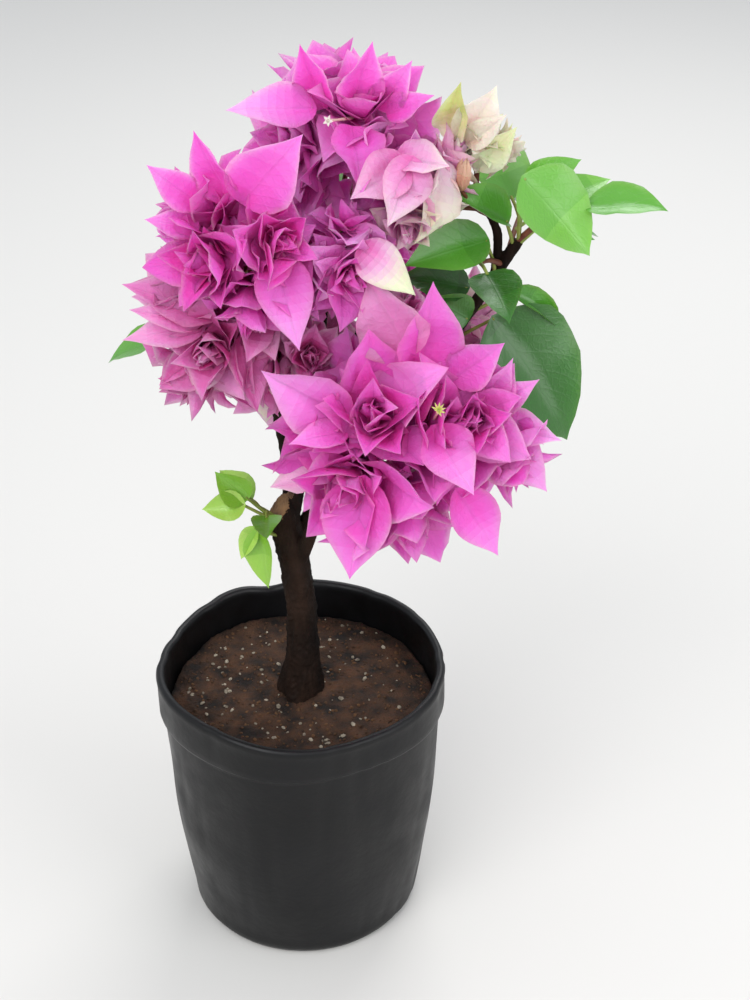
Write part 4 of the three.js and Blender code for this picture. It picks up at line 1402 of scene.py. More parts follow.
class Layout:
    """The points and triangles of a form: a thin closed blade with one point at each end."""

    def __init__(self, form: Form) -> None:
        """Number the points: base, tip, the upper rows, then what lies under them between the rims.

        Args:
            form: The form.
        """
        self.along = np.array([row[0] for row in form.outline], float)
        self.half = np.array([row[1] for row in form.outline], float)
        self.across = np.linspace(-1, 1, form.columns + 1)
        rows, columns = len(self.along) - 2, form.columns
        self.upper = np.arange(rows * (columns + 1)).reshape(rows, columns + 1) + 2
        self.lower = self.upper.copy()
        count = 2 + self.upper.size
        self.lower[:, 1:-1] = np.arange(rows * (columns - 1)).reshape(rows, columns - 1) + count
        self.size = count + rows * (columns - 1)
        top, top_quads = self.faces(self.upper)
        under, under_quads = self.faces(self.lower)
        self.corners = np.vstack([top, under[:, ::-1]])
        self.is_under = np.repeat([False, True], [len(top), len(under)])
        self.rim = np.zeros(self.size, bool)
        self.rim[[0, 1]] = True
        self.rim[self.upper[:, [0, -1]].ravel()] = True
        self.chart = np.zeros((self.size, 2))
        self.chart[0], self.chart[1] = (0.5, 0), (0.5, 1)
        for sheet in (self.upper, self.lower):
            self.chart[sheet, 0] = self.across[None] / 2 + 0.5
            self.chart[sheet, 1] = self.along[1:-1, None]
        quads = np.vstack([top_quads, under_quads])
        self.face_along = self.chart[quads, 1].mean(1)
        self.face_out = np.abs(self.chart[quads, 0] * 2 - 1).mean(1)

    @staticmethod
    def faces(sheet: np.ndarray) -> Arrays:
        """List the triangles of one side.

        Args:
            sheet: The numbers of its points, row by row.

        Returns:
            The triangles, facing up, and for each the four points that its tint is worked out from.
        """
        a, b = sheet[:-1, :-1].ravel(), sheet[:-1, 1:].ravel()
        c, d = sheet[1:, :-1].ravel(), sheet[1:, 1:].ravel()
        first, last = sheet[0], sheet[-1]
        base = np.stack([np.zeros(len(first) - 1, int), first[1:], first[:-1]], 1)
        tip = np.stack([np.ones(len(last) - 1, int), last[:-1], last[1:]], 1)
        quads = np.stack([a, b, c, d], 1)
        ends = [np.hstack([triangles, triangles[:, 1:2]]) for triangles in (base, tip)]
        corners = np.vstack([np.stack([a, b, d], 1), np.stack([a, d, c], 1), base, tip])
        return corners, np.vstack([quads, quads, *ends])


@lru_cache(maxsize=None)
def layout(form: Form) -> Layout:
    """Lay a form out once."""
    return Layout(form)


@dataclass(frozen=True)
class Whim:
    """What makes a blade unlike its neighbours."""

    bend: float = 0.0
    twist: float = 0.0
    sway: float = 0.0
    ruffle: float = 1.0
    curl: float = 1.0
    reflex: float = 1.0
    phase: float = 0.0

    @classmethod
    def drawn(cls, seed: int, draw: int, size: float = 1.0) -> "Whim":
        """Draw a whim.

        Args:
            seed: The seed of the blade's mass.
            draw: The number of the blade's draw.
            size: How strong the whim is.

        Returns:
            The whim.
        """
        return cls(
            bend=jitter(seed + 2, draw, 0.24 * size),
            twist=jitter(seed + 3, draw, 0.55 * size),
            sway=jitter(seed + 4, draw, 0.1 * size),
            ruffle=1 + jitter(seed + 5, draw, 0.6 * size),
            curl=1 + jitter(seed + 6, draw, 0.45 * size),
            reflex=0.8 + jitter(seed + 7, draw, 1.1 * size),
            phase=chance(seed + 8, draw) * 2 * math.pi,
        )


@dataclass
class Blade:
    """One bract, leaf or petal, ready to be laid out."""

    base: np.ndarray
    way: np.ndarray
    upper: np.ndarray
    length: float
    width: float
    form: Form
    whim: Whim = Whim()

    def __post_init__(self) -> None:
        """Work out the blade's own axes."""
        self.normal = unit(self.upper - self.way * float(self.upper @ self.way))
        self.across = np.cross(self.way, self.normal)

    def surface(self, scale: float = 1.0) -> Arrays:
        """Lay out the middle surface.

        Args:
            scale: A share of its full size.

        Returns:
            Its points and its normals, by row and column.
        """
        form, whim, grid = self.form, self.whim, layout(self.form)
        along, v, reach = grid.along, grid.across, self.length * scale
        half = (grid.half * self.width * reach / 2)[:, None]
        angle = (form.bend + whim.bend) * along + form.reflex * whim.reflex * along**4
        middle_angle = (angle[1:] + angle[:-1]) / 2
        step = np.diff(along) * reach
        out = np.concatenate([[0], np.cumsum(step * np.cos(middle_angle))])[:, None]
        rise = np.concatenate([[0], np.cumsum(step * np.sin(middle_angle))])[:, None]
        aside = (whim.sway * reach * along**2)[:, None]
        spine = self.base + out * self.way + rise * self.normal + aside * self.across
        up = -np.sin(angle)[:, None] * self.way + np.cos(angle)[:, None] * self.normal
        turn = (whim.twist * along**1.5)[:, None]
        over = np.cos(turn) * self.across + np.sin(turn) * up
        up = np.cos(turn) * up - np.sin(turn) * self.across
        size, cup = np.abs(v), form.cup * whim.curl
        lean = (form.fold + cup * size) * np.sign(v)
        wide = np.abs(np.sin(lean) - np.sign(v) * math.sin(form.fold)) / cup * np.sign(v)
        lift = (math.cos(form.fold) - np.cos(lean)) / cup
        height = half * (lift[None] + self.ripples(along[:, None], v[None]))
        places = spine[:, None] + (half * wide[None])[..., None] * over[:, None]
        places = places + height[..., None] * up[:, None]
        normals = np.cos(lean)[None, :, None] * up[:, None] - np.sin(lean)[None, :, None] * over[:, None]
        return places, normals

    def ripples(self, along: np.ndarray, v: np.ndarray) -> np.ndarray:
        """Wave the rims and crinkle the face.

        Args:
            along: Shares of the way along the blade.
            v: Places across it, from -1 to 1.

        Returns:
            The rise there, as a share of the half width.
        """
        phase, right = self.whim.phase, v > 0
        turn = 2 * math.pi * self.form.waves * along
        wave = np.sin(turn + phase + 2.1 * right) + 0.45 * np.sin(2.6 * turn + 2.3 * phase + 4 * right)
        crinkle = np.sin(6.1 * along + 3.3 * v + phase) * np.sin(4.3 * along - 5.2 * v + 2 * phase)
        return self.form.wave * self.whim.ruffle * (wave * np.abs(v) ** 2.5 + 0.5 * crinkle)

    def lay(self, skin: Skin, scale: float, tints: np.ndarray) -> None:
        """Add the blade to a skin.

        Args:
            skin: The skin that it goes into.
            scale: A share of its full size.
            tints: A tint number for each triangle.
        """
        grid = layout(self.form)
        places, normals = self.surface(scale)
        thick = self.form.thickness * (1 - grid.across**2)[None, :, None]
        points = np.empty((grid.size, 3))
        points[0], points[1] = places[0, 0], places[-1, 0]
        points[grid.lower] = places[1:-1] - normals[1:-1] * thick
        points[grid.upper] = places[1:-1] + normals[1:-1] * thick
        skin.add(points, grid.corners, tints, grid.chart, grid.rim)

    def shades(self, family: Family, level: float, paler: float, rim: float) -> np.ndarray:
        """Deal out tints, paler towards the tip and the rim.

        Args:
            family: The colour family.
            level: The tone at the base, from 0 for the deepest tint to 1 for the palest.
            paler: How much paler the tip is.
            rim: How much paler the rim is, half way along and beyond.

        Returns:
            A tint number for each triangle.
        """
        grid = layout(self.form)
        along, last = grid.face_along, family.count - 1
        tone = level + paler * np.minimum(1, along * 1.3)
        tone = tone + rim * grid.face_out**2 * along + 0.05 * grid.is_under
        return np.clip(np.round(tone * last), 0, last).astype(np.int32)


@dataclass(frozen=True)
class Whorl:
    """A ring of bracts: tilt from the axis in degrees, share of the longest, lift, number and kind."""

    tilt: float
    length: float
    lift: float
    bracts: int
    kind: Kind


SOURCE_WHORLS = (
    Whorl(102, 1, -3.4, 4, Kind.OUTER),
    Whorl(74, 0.95, -1.2, 4, Kind.MIDDLE),
    Whorl(47, 0.8, 1, 4, Kind.INNER),
    Whorl(20, 0.56, 3.2, 4, Kind.HEART),
)
FINE_WHORLS = (
    Whorl(88, 0.9, -2.3, 4, Kind.OUTER),
    Whorl(61, 0.84, -0.1, 5, Kind.MIDDLE),
    Whorl(36, 0.62, 2.1, 4, Kind.INNER),
    Whorl(24, 0.42, 3.0, 3, Kind.HEART),
    Whorl(8, 0.32, 3.6, 3, Kind.HEART),
)


@dataclass(frozen=True)
class Leading:
    """A bract that stands where the photograph shows it: its ends above ground, and the way it faces."""

    patch: Patch
    base: Point
    tip: Point
    faces: Point
    width: float
    level: float = 0.3
    paler: float = 0.3
    rim: float = 0.0
    kind: Kind = Kind.SHOWN


LEADING = tuple(
    Leading(patch, *row)
    for patch, rows in {
        # The left head's, then the top head's.
        Patch.UPPER: (
            ((-3, -31, 210), (3, -45, 179), (0.15, -1, 0.2), 0.62, 0.26, 0.5),
            ((-19, -25, 225), (-27, -30, 253), (-0.5, -1, 0.3), 0.58, 0.3, 0.25),
            ((-14, -28, 226), (6, -35, 254), (0.2, -1, 0.5), 0.75, 0.36, 0.3),
            ((-28, -24, 224), (-46, -28, 240), (-0.2, -0.9, 0.5), 0.57, 0.3, 0.4),
            ((-29, -24, 216), (-47, -28, 221), (-0.2, -0.9, 0.5), 0.58, 0.3, 0.4),
            ((11, 5, 248), (-20, -7, 253), (0, -0.8, 0.6), 0.51, 0.42, 0.45),
            ((23, 9, 246), (29, 2, 272), (0.3, -1, 0.2), 0.64, 0.36, 0.25),
            ((13, 9, 246), (6, 2, 271), (-0.3, -1, 0.3), 0.57, 0.3, 0.2),
            ((32, 9, 246), (44, 2, 266), (0.2, -0.9, 0.5), 0.57, 0.34, 0.35),
            ((35, 6, 245), (51, -3, 255), (0.1, -0.8, 0.6), 0.52, 0.3, 0.35),
            ((23, 1, 243), (26, -24, 228), (0.3, -0.8, 0.5), 0.7, 0.36, 0.3),
        ),
        # The front head's, then the one's to its right.
        Patch.FRONT: (
            ((27, -55, 136), (21, -63, 98), (-0.25, -1, 0.3), 0.72, 0.26, 0.4),
            ((59, -51, 128), (75, -54, 102), (0.3, -1, 0.3), 0.66, 0.28, 0.4),
            ((21, -44, 152), (-9, -50, 175), (-0.3, -0.9, 0.3), 0.66, 0.42, 0.35),
            ((21, -47, 149), (0, -58, 151), (0, -0.7, 0.8), 0.54, 0.36, 0.35),
            ((22, -44, 138), (3, -55, 132), (-0.2, -0.9, 0.6), 0.55, 0.34, 0.4),
            ((48, -36, 165), (49, -38, 202), (0.3, -1, 0.2), 0.71, 0.26, 0.35),
            ((57, -36, 163), (76, -40, 180), (0.1, -0.9, 0.5), 0.71, 0.36, 0.3),
            ((50, -50, 153), (64, -62, 131), (0.3, -1, 0.4), 0.74, 0.34, 0.45),
            ((72, -30, 142), (98, -36, 140), (0.2, -0.7, 0.7), 0.59, 0.36, 0.5),
            ((70, -30, 148), (88, -36, 163), (0.2, -0.9, 0.5), 0.54, 0.36, 0.4),
            ((67, -32, 149), (79, -38, 172), (0.3, -1, 0.3), 0.51, 0.36, 0.4),
            ((72, -32, 141), (94, -40, 120), (0.4, -0.9, 0.4), 0.66, 0.36, 0.45),
        ),
        # Two under the front head, then the low left head's.
        Patch.FADED_LEFT: (
            ((23, -39, 132), (-7, -40, 120), (-0.1, -0.4, 0.9), 0.8, 0.3, 0.3, 0.1),
            ((46, -41, 132), (52, -46, 118), (0, -1, 0.3), 1.13, 0.6, 0.4, 0.1),
            ((-23, -17, 181), (-59, -18, 190), (-0.1, -0.6, 0.8), 0.61, 0.22, 0.2),
            ((-21, -19, 185), (-38, -20, 208), (-0.3, -0.9, 0.5), 0.83, 0.18, 0.25),
            ((-29, -21, 177), (-59, -24, 175), (-0.1, -0.8, 0.6), 0.46, 0.22, 0.3),
            ((-29, -21, 180), (-56, -24, 184), (-0.1, -0.8, 0.6), 0.47, 0.2, 0.3),
            ((-17, -21, 174), (-14, -30, 147), (0.6, -0.8, 0.2), 0.61, 0.16, 0.2),
            ((-36, -17, 165), (-47, -22, 154), (-0.4, -0.9, 0.3), 0.59, 0.16, 0.2),
        ),
        # One with a cream edge, then the pale ones.
        Patch.FADED_UPPER: (
            ((25, -28, 211), (45, -38, 197), (0, -0.9, 0.4), 0.72, 0.2, 0.75, 0.3, Kind.CURLED),
            ((44, -12, 237), (36, -28, 217), (0.2, -1, 0.2), 0.71, 0.3, 0.34, 0.1),
            ((38, -8, 236), (57, -17, 234), (0.1, -0.7, 0.7), 0.74, 0.32, 0.36, 0.1),
            ((42, -12, 235), (22, -24, 226), (-0.1, -0.9, 0.4), 0.76, 0.28, 0.3, 0.0),
            ((55, -4, 233), (44, -18, 206), (0.7, -0.7, 0.2), 0.65, 0.62, 0.25, 0.1, Kind.CURLED),
            ((43, -37, 173), (28, -34, 201), (-0.3, -1, 0.2), 0.9, 0.34, 0.1),
        ),
        # The cream ones, then two pale ones under the bud.
        Patch.YOUNG: (
            ((59, 9, 235), (60, 5, 258), (-0.4, -1, 0.3), 0.8, 0.7, 0.35, 0.2, Kind.CURLED),
            ((62, 9, 235), (73, 2, 256), (0.2, -1, 0.3), 0.75, 0.42, 0.15, 0.0),
            ((63, 7, 234), (77, -1, 247), (0.2, -0.9, 0.6), 0.51, 0.4, 0.1, 0.1),
            ((67, 9, 224), (80, 5, 241), (0.1, -1, 0.3), 0.62, 0.62, 0.2, 0.1),
            ((57, 7, 221), (60, 0, 210), (0.1, -1, 0.4), 0.78, 0.35, 0.3, 0.1),
            ((66, 9, 218), (73, 4, 209), (0.1, -1, 0.4), 0.7, 0.35, 0.2, 0.1),
        ),
    }.items()
    for row in rows
)


@dataclass(frozen=True)
class LeadingLeaf:
    """A leaf that stands where the photograph shows it, with its stalk from a place on a bough."""

    patch: Patch
    bough: str
    share: float
    base: Point
    tip: Point
    faces: Point
    width: float
    level: float
    kind: Kind = Kind.LEAF


LEADING_LEAVES = tuple(
    LeadingLeaf(patch, bough, *row)
    for (patch, bough), rows in {
        (Patch.LEAVES_RIGHT, "bough_right"): (
            (1, (82, -5, 227), (108, -14, 201), (0.5, -0.75, 0.5), 0.82, 0.75),
            (1, (84, 5, 219), (104, 9, 229), (0.1, -0.7, 0.7), 0.55, 0.7),
            (0.97, (88, 4, 204), (112, 6, 199), (0, -0.6, 0.8), 0.5, 0.5),
            (0.98, (79, 3, 206), (60, -8, 224), (0.1, -0.6, 0.8), 0.66, 0.6, Kind.CURLED_LEAF),
            (0.9, (72, 0, 201), (40, -12, 197), (0, -0.75, 0.65), 0.62, 0.55, Kind.YOUNG_LEAF),
            (0.72, (66, 5, 180), (40, 4, 186), (0, -0.8, 0.6), 0.6, 0.1),
            (0.66, (66, 3, 168), (52, -3, 180), (0, -0.9, 0.4), 0.8, 0.35),
            (0.68, (74, 2, 170), (110, -6, 122), (0.3, -0.8, 0.55), 0.76, 0.26),
            (0.78, (80, 6, 178), (108, 8, 164), (0, -0.6, 0.8), 0.42, 0.55, Kind.CURLED_LEAF),
        ),
        (Patch.SHOOT, "trunk"): (
            (0.84, (-18, -6, 96), (-31, -6, 108), (-0.2, -0.9, 0.5), 0.85, 0.4, Kind.YOUNG_LEAF),
            (0.84, (-19, -8, 95), (-36, -9, 93), (-0.1, -0.8, 0.6), 0.8, 0.8, Kind.YOUNG_LEAF),
            (0.78, (-15, -8, 84), (-10, -12, 58), (-0.4, -0.9, 0.2), 0.55, 0.6, Kind.YOUNG_LEAF),
            (0.78, (-15, -7, 84), (-22, -9, 70), (-0.6, -0.8, 0.3), 0.6, 0.9, Kind.YOUNG_LEAF),
        ),
    }.items()
    for row in rows
)


@dataclass
class Mass:
    """A head or a spray with what its rule works out: its stem, its cell's middle and reach, its end."""

    spec: Head | Spray
    seed: int
    stem: Line
    middle: np.ndarray
    radius: float
    end: np.ndarray


class Room:
    """The space that a mass keeps to: its side of each plane between two masses."""

    def __init__(self, mass: Mass, masses: list[Mass], slack: float) -> None:
        """Work out the planes.

        Args:
            mass: The mass.
            masses: All the masses.
            slack: How far past a plane it may reach, in millimetres.
        """
        points, ways = [], []
        for other in masses:
            if other is mass:
                continue
            gap = mass.middle - other.middle
            apart = float(np.linalg.norm(gap))
            share = 0.5 + (other.radius**2 - mass.radius**2) / (2 * apart * apart)
            points.append(other.middle + gap * share)
            ways.append(gap / apart)
        self.points, self.ways, self.slack = np.array(points), np.array(ways), slack

    def holds(self, places: np.ndarray) -> bool:
        """Say whether every place is inside, give or take the slack."""
        away = places @ self.ways.T - (self.points * self.ways).sum(1)
        return bool((away > -self.slack).all())


@dataclass
class Crown:
    """All heads and sprays, grown by the source's rule and carried on to finer bracts and twigs."""

    wood: Wood
    head_spread: float = 74
    first_spread: float = 0.4
    hub_depth: float = 0.5
    footstalk: float = 0.44
    longest: float = 0.8
    bract_width: float = 0.76
    cream_share: float = 0.3
    shrinks: tuple[float, ...] = (1, 0.86, 0.74, 0.62, 0.5, 0.38)
    head_slack: float = 3.0
    rosette_slack: float = 5.0
    heart_slack: float = -0.35
    fill_share: float = 0.7
    fill_angle: float = 118
    fill_draws: int = 500
    fill_start: float = 0.3
    fill_lean: tuple[float, float] = (0.35, 0.5)
    fill_length: float = 0.58
    fill_whim: float = 1.3
    # Fill bracts between the rosettes get deeper tints: partly their own deeper pink, partly painted shade
    # inside the head.
    fill_deep_and_shade: float = 0.06
    head_stem: tuple[float, float] = (1.15, 0.85)
    head_stalk: tuple[float, float] = (0.8, 0.7)
    spray_stem: tuple[float, float] = (1.2, 0.75)
    stalk_end: float = 0.6
    stalk_lap: float = 1.5
    leaf_seed: int = 31
    leaf_run: tuple[float, float] = (0.42, 0.55)
    leaf_tilt: float = 58
    last_tilt: float = 14
    leaf_width: float = 0.66
    leaf_paler: float = 0.08
    leaf_apart: float = 24 / 38
    leading_seed: int = 77
    open_left: tuple[float, float] = (-55, 235)

    def __post_init__(self) -> None:
        """Prepare the masses and what gathers their pieces."""
        self.limbs, self.limb_radii = self.wood.probes()
        self.low, self.high = (np.array(corner) / MM for corner in CAD_BOX)
        self.skins = {patch: Skin() for patch in Patch}
        self.wires: dict[Finish, list[Arrays]] = {Finish.YOUNG_WOOD: [], Finish.GREEN_STALK: []}
        self.masses = [self.head_mass(head, i + 1) for i, head in enumerate(HEADS)]
        self.masses += [self.spray_mass(spray, i + self.leaf_seed) for i, spray in enumerate(SPRAYS)]
        self.hearts: list[Arrays] = []

    def head_mass(self, head: Head, seed: int) -> Mass:
        """Prepare a head: its stem runs from its bough to the hub behind its middle.

        Args:
            head: The head.
            seed: Its seed.

        Returns:
            The mass.
        """
        middle = above_ground(head.middle)
        hub = middle - unit(np.array(head.faces, float)) * self.hub_depth * head.radius
        start = self.wood.lines[head.bough].at(head.share)
        return Mass(head, seed, self.bowed(start, hub, -2), middle, head.radius, hub)

    def spray_mass(self, spray: Spray, seed: int) -> Mass:
        """Prepare a spray: its stem runs from its bough to its tip.

        Args:
            spray: The spray.
            seed: Its seed.

        Returns:
            The mass.
        """
        start, tip = self.wood.lines[spray.bough].at(spray.share), above_ground(spray.tip)
        middle = start + (tip - start) * 0.85
        return Mass(spray, seed, self.bowed(start, tip, 2), middle, spray.length * 0.85, tip)

    @staticmethod
    def bowed(start: np.ndarray, end: np.ndarray, bow: float) -> Line:
        """Draw a line between two points, bowed up or down in its middle."""
        return Line([start, (start + end) / 2 + UP * bow, end])

    def wire(self, line: Line, radii: tuple[float, float], finish: Finish) -> None:
        """Keep a stem or stalk for the tubes.

        Args:
            line: Its curve.
            radii: The radii at its foot and at its end.
            finish: Its finish, young wood or green stalk.
        """
        thick, thin = radii
        shares = np.linspace(0, 1, max(4, int(line.lengths[-1] / 3)) + 1)
        girth = thick + (thin - thick) * shares
        self.wires[finish].append((np.array([line.at(s) for s in shares]), girth))

    def leaf_stalk(self, start: np.ndarray, blade: Blade, bow: float, thick: float) -> None:
        """Keep a leaf's green stalk for the tubes.

        Args:
            start: Where it leaves its stem.
            blade: The leaf.
            bow: How far its middle bows up.
            thick: The radius at its foot.
        """
        line = Line([start, (start + blade.base) / 2 + UP * bow, blade.base + blade.way * self.stalk_lap])
        self.wire(line, (thick, self.stalk_end), Finish.GREEN_STALK)

    def clear_of_limbs(self, places: np.ndarray) -> bool:
        """Say whether places keep clear of the trunk and the boughs."""
        gaps = np.linalg.norm(places[:, None] - self.limbs[None], axis=2) - self.limb_radii
        return bool((gaps > 0.2).all())

    def fitted(self, blade: Blade, room: Room, centres: np.ndarray | None = None, own: int = 0) -> float:
        """Find the largest scale at which a blade keeps to its room.

        Args:
            blade: The blade.
            room: The room of its mass.
            centres: The centres of its head's rosettes, where it has to keep to one of them.
            own: The number of its own rosette.

        Returns:
            The scale, or 0 where it finds no room.
        """
        for scale in self.shrinks:
            places = blade.surface(scale)[0].reshape(-1, 3)
            if not room.holds(places) or (places < self.low).any() or (places > self.high).any():
                continue
            if centres is not None:
                gaps = np.linalg.norm(places[:, None] - centres[None], axis=2)
                if (gaps[:, own] - gaps.min(axis=1) > self.rosette_slack).any():
                    continue
            if self.clear_of_limbs(places[len(places) // 6 :]):
                return scale
        return 0.0

    def bract_tints(self, blade: Blade, head: Head, seed: int, draw: int, deep: float) -> np.ndarray:
        """Deal out a bract's tints by its head, its place in it and chance.

        Args:
            blade: The bract.
            head: Its head.
            seed: The seed of its head.
            draw: The number of its draw.
            deep: How much deeper the whole bract is, partly its own deeper pink and partly painted shade
                inside a rosette or between rosettes.

        Returns:
            A tint number for each triangle.
        """
        family = head.patch.family
        # Taking deep off darkens bracts inside rosettes, partly as their own deeper pink and partly as
        # painted shade.
        # head.pale darkens bloom_left_low with painted shade and lifts bloom_centre with painted light.
        level = 0.28 + head.pale - deep + jitter(seed + 15, draw, 0.14)
        cream = family is Family.FADED and chance(seed + 16, draw) < self.cream_share
        return blade.shades(family, level, 0.4 if cream else 0.28, 0.2 if cream else 0.0)

    def grow_rosette(
        self, mass: Mass, room: Room, centres: np.ndarray, axis: np.ndarray, count: int
    ) -> None:
        """Grow a rosette's whorls of bracts.

        Args:
            mass: Its head.
            room: The head's room.
            centres: The centres of all the head's rosettes.
            axis: The rosette's own axis.
            count: Its number in the head.
        """
        skin, seed = self.skins[mass.spec.patch], mass.seed
        whorls = [(w, whorl, 0.0) for w, whorl in enumerate(SOURCE_WHORLS)]
        whorls += [(w + 20, whorl, 1.0) for w, whorl in enumerate(FINE_WHORLS)]
        for w, whorl, loose in whorls:
            step = 2 * math.pi / whorl.bracts
            start = count * GOLDEN_TURN + w * step / 2 + loose * 0.35 * w
            middle = centres[count] + axis * whorl.lift
            for k in range(whorl.bracts):
                draw = (count * 4 + w) * 4 + k
                tilt = math.radians(whorl.tilt) + jitter(seed, draw, 0.1 + 0.1 * loose)
                turn = start + step * k + jitter(seed + 9, draw, 0.1 + 0.3 * loose)
                longer = 1 + jitter(seed + 1, draw, 0.12 + 0.08 * loose)
                blade = Blade(
                    middle,
                    leaning(axis, tilt, turn),
                    axis,
                    mass.radius * self.longest * whorl.length * longer,
                    self.bract_width + jitter(seed + 10, draw, 0.1),
                    whorl.kind.value,
                    Whim.drawn(seed, draw),
                )
                scale = self.fitted(blade, room, centres, count)
                if scale > 0:
                    # Heart and inner bracts get deeper tints: partly their own deeper pink, partly painted
                    # shade in the rosette's hollow.
                    deep = {Kind.HEART: 0.2, Kind.INNER: 0.08}.get(whorl.kind, 0.0)
                    blade.lay(skin, scale, self.bract_tints(blade, mass.spec, seed, draw, deep))

    def grow_fill(self, mass: Mass, room: Room) -> None:
        """Fill the spaces between a head's rosettes with bracts that spread from its hub.

        Args:
            mass: The head.
            room: Its room.
        """
        head, skin, seed = mass.spec, self.skins[mass.spec.patch], mass.seed
        facing = unit(np.array(head.faces, float))
        count = round(head.radius * self.fill_share)
        limit, (least, more) = math.cos(math.radians(self.fill_angle)), self.fill_lean
        for k in range(count):
            draw = self.fill_draws + k
            tilt = math.acos(1 - (1 - limit) * (k + 0.5) / count)
            out = leaning(facing, tilt, k * GOLDEN_TURN + seed)
            side = leaning(out, math.pi / 2, chance(seed + 11, draw) * 2 * math.pi)
            blade = Blade(
                mass.end + out * head.radius * self.fill_start,
                unit(out + side * (least + more * chance(seed + 12, draw))),
                unit(out * 0.4 - side),
                head.radius * (self.fill_length + jitter(seed + 13, draw, 0.12)),
                self.bract_width + jitter(seed + 10, draw, 0.1),
                Kind.MIDDLE.value,
                Whim.drawn(seed, draw, self.fill_whim),
            )
            scale = self.fitted(blade, room)
            if scale > 0:
                blade.lay(skin, scale, self.bract_tints(blade, head, seed, draw, self.fill_deep_and_shade))

    def grow_head(self, mass: Mass) -> None:
        """Grow a head: rosettes on stalks that spread from the end of its stem.

        Args:
            mass: The head.
        """
        head, room = mass.spec, Room(mass, self.masses, self.head_slack)
        facing, spread = unit(np.array(head.faces, float)), math.radians(self.head_spread)
        shares = [math.sqrt((k + self.first_spread) / head.rosettes) for k in range(head.rosettes)]
        axes = [leaning(facing, spread * s, k * GOLDEN_TURN + mass.seed) for k, s in enumerate(shares)]
        centres = np.array([mass.end + axis * self.footstalk * mass.radius for axis in axes])
        self.wire(mass.stem, self.head_stem, Finish.YOUNG_WOOD)
        within = Room(mass, self.masses, self.heart_slack)
        for count, (axis, centre) in enumerate(zip(axes, centres)):
            if within.holds(centre[None]):
                line = Line([mass.end - axis, (mass.end + centre) / 2, centre])
                self.wire(line, self.head_stalk, Finish.GREEN_STALK)
                self.grow_rosette(mass, room, centres, axis, count)
                self.hearts.append((centre, axis))
        self.grow_fill(mass, room)

    def grow_spray(self, mass: Mass) -> None:
        """Grow a spray: leaves on short stalks along its stem, with the last one at its tip.

        Args:
            mass: The spray.
        """
        spray, room, seed = mass.spec, Room(mass, self.masses, self.head_slack), mass.seed
        young, reached = spray.patch is Patch.SHOOT, 0.0
        first, run = self.leaf_run
        for i in range(spray.leaves):
            share = first + run * i / (spray.leaves - 1)
            start, last = mass.stem.at(share), i == spray.leaves - 1
            tilt = self.last_tilt if last else self.leaf_tilt + jitter(seed, i, 14)
            way = leaning(mass.stem.way_at(share), math.radians(tilt), i * GOLDEN_TURN + seed)
            way = unit(way - UP * spray.droop)
            shrink = 0.75 if last else 1 - 0.06 * i
            length = spray.length * shrink * (1 + jitter(seed + 1, i, 0.12))
            base = start + way * 0.2 * length
            form = (Kind.YOUNG_LEAF if young else Kind.LEAF).value
            up, whim = np.array([0, -0.35, 1]), Whim.drawn(seed, i, 0.6)
            blade = Blade(base, way, up, length, self.leaf_width, form, whim)
            scale = self.fitted(blade, room)
            if scale > 0 and self.out_of_open_air(blade, scale) and self.apart_from_leading(blade):
                reached = share
                self.leaf_stalk(start, blade, bow=0.6, thick=0.75)
                tone = 0.15 + 0.6 * chance(seed + 9, i)
                tints = blade.shades(spray.patch.family, tone, self.leaf_paler, 0.0)
                blade.lay(self.skins[spray.patch], scale, tints)
        if reached > 0:
            part = Line([mass.stem.at(reached * share) for share in (0, 0.33, 0.67, 1)])
            self.wire(part, self.spray_stem, Finish.GREEN_STALK if young else Finish.YOUNG_WOOD)

    def out_of_open_air(self, blade: Blade, scale: float) -> bool:
        """Say whether a leaf keeps out of the corner below the left heads, open in the photograph."""
        low = blade.surface(scale)[0].reshape(-1, 3).min(axis=0)
        return bool(low[0] > self.open_left[0] or low[2] > self.open_left[1])

    def apart_from_leading(self, blade: Blade) -> bool:
        """Say whether a leaf of the rule keeps clear of the leading leaves, to which it gives way.

        Args:
            blade: The leaf.

        Returns:
            True where it does.
        """
        middle = blade.base + blade.way * blade.length / 2
        others = [(above_ground(leaf.base) + above_ground(leaf.tip)) / 2 for leaf in LEADING_LEAVES]
        nearest = min(float(np.linalg.norm(middle - other)) for other in others)
        return nearest > self.leaf_apart * blade.length

    @staticmethod
    def leading_blade(shown: Leading | LeadingLeaf, whim: Whim) -> Blade:
        """Make the blade of a leading bract or leaf.

        Args:
            shown: The bract or leaf.
            whim: What makes it unlike its neighbours.

        Returns:
            The blade.
        """
        base, tip, faces = above_ground(shown.base), above_ground(shown.tip), np.array(shown.faces, float)
        length = float(np.linalg.norm(tip - base))
        return Blade(base, unit(tip - base), faces, length, shown.width, shown.kind.value, whim)

    def place_leading(self) -> None:
        """Put the leading bracts and leaves where the photograph shows them."""
        for k, bract in enumerate(LEADING):
            blade = self.leading_blade(bract, replace(Whim.drawn(self.leading_seed, k, 0.6), twist=0.0))
            tints = blade.shades(bract.patch.family, bract.level, bract.paler, bract.rim)
            blade.lay(self.skins[bract.patch], 1.0, tints)
        for k, leaf in enumerate(LEADING_LEAVES):
            blade = self.leading_blade(leaf, replace(Whim.drawn(self.leading_seed + 20, k, 0.5), bend=0.0))
            start = self.wood.lines[leaf.bough].at(leaf.share)
            self.leaf_stalk(start, blade, bow=-0.8, thick=0.8)
            tints = blade.shades(leaf.patch.family, leaf.level, self.leaf_paler, 0.0)
            blade.lay(self.skins[leaf.patch], 1.0, tints)

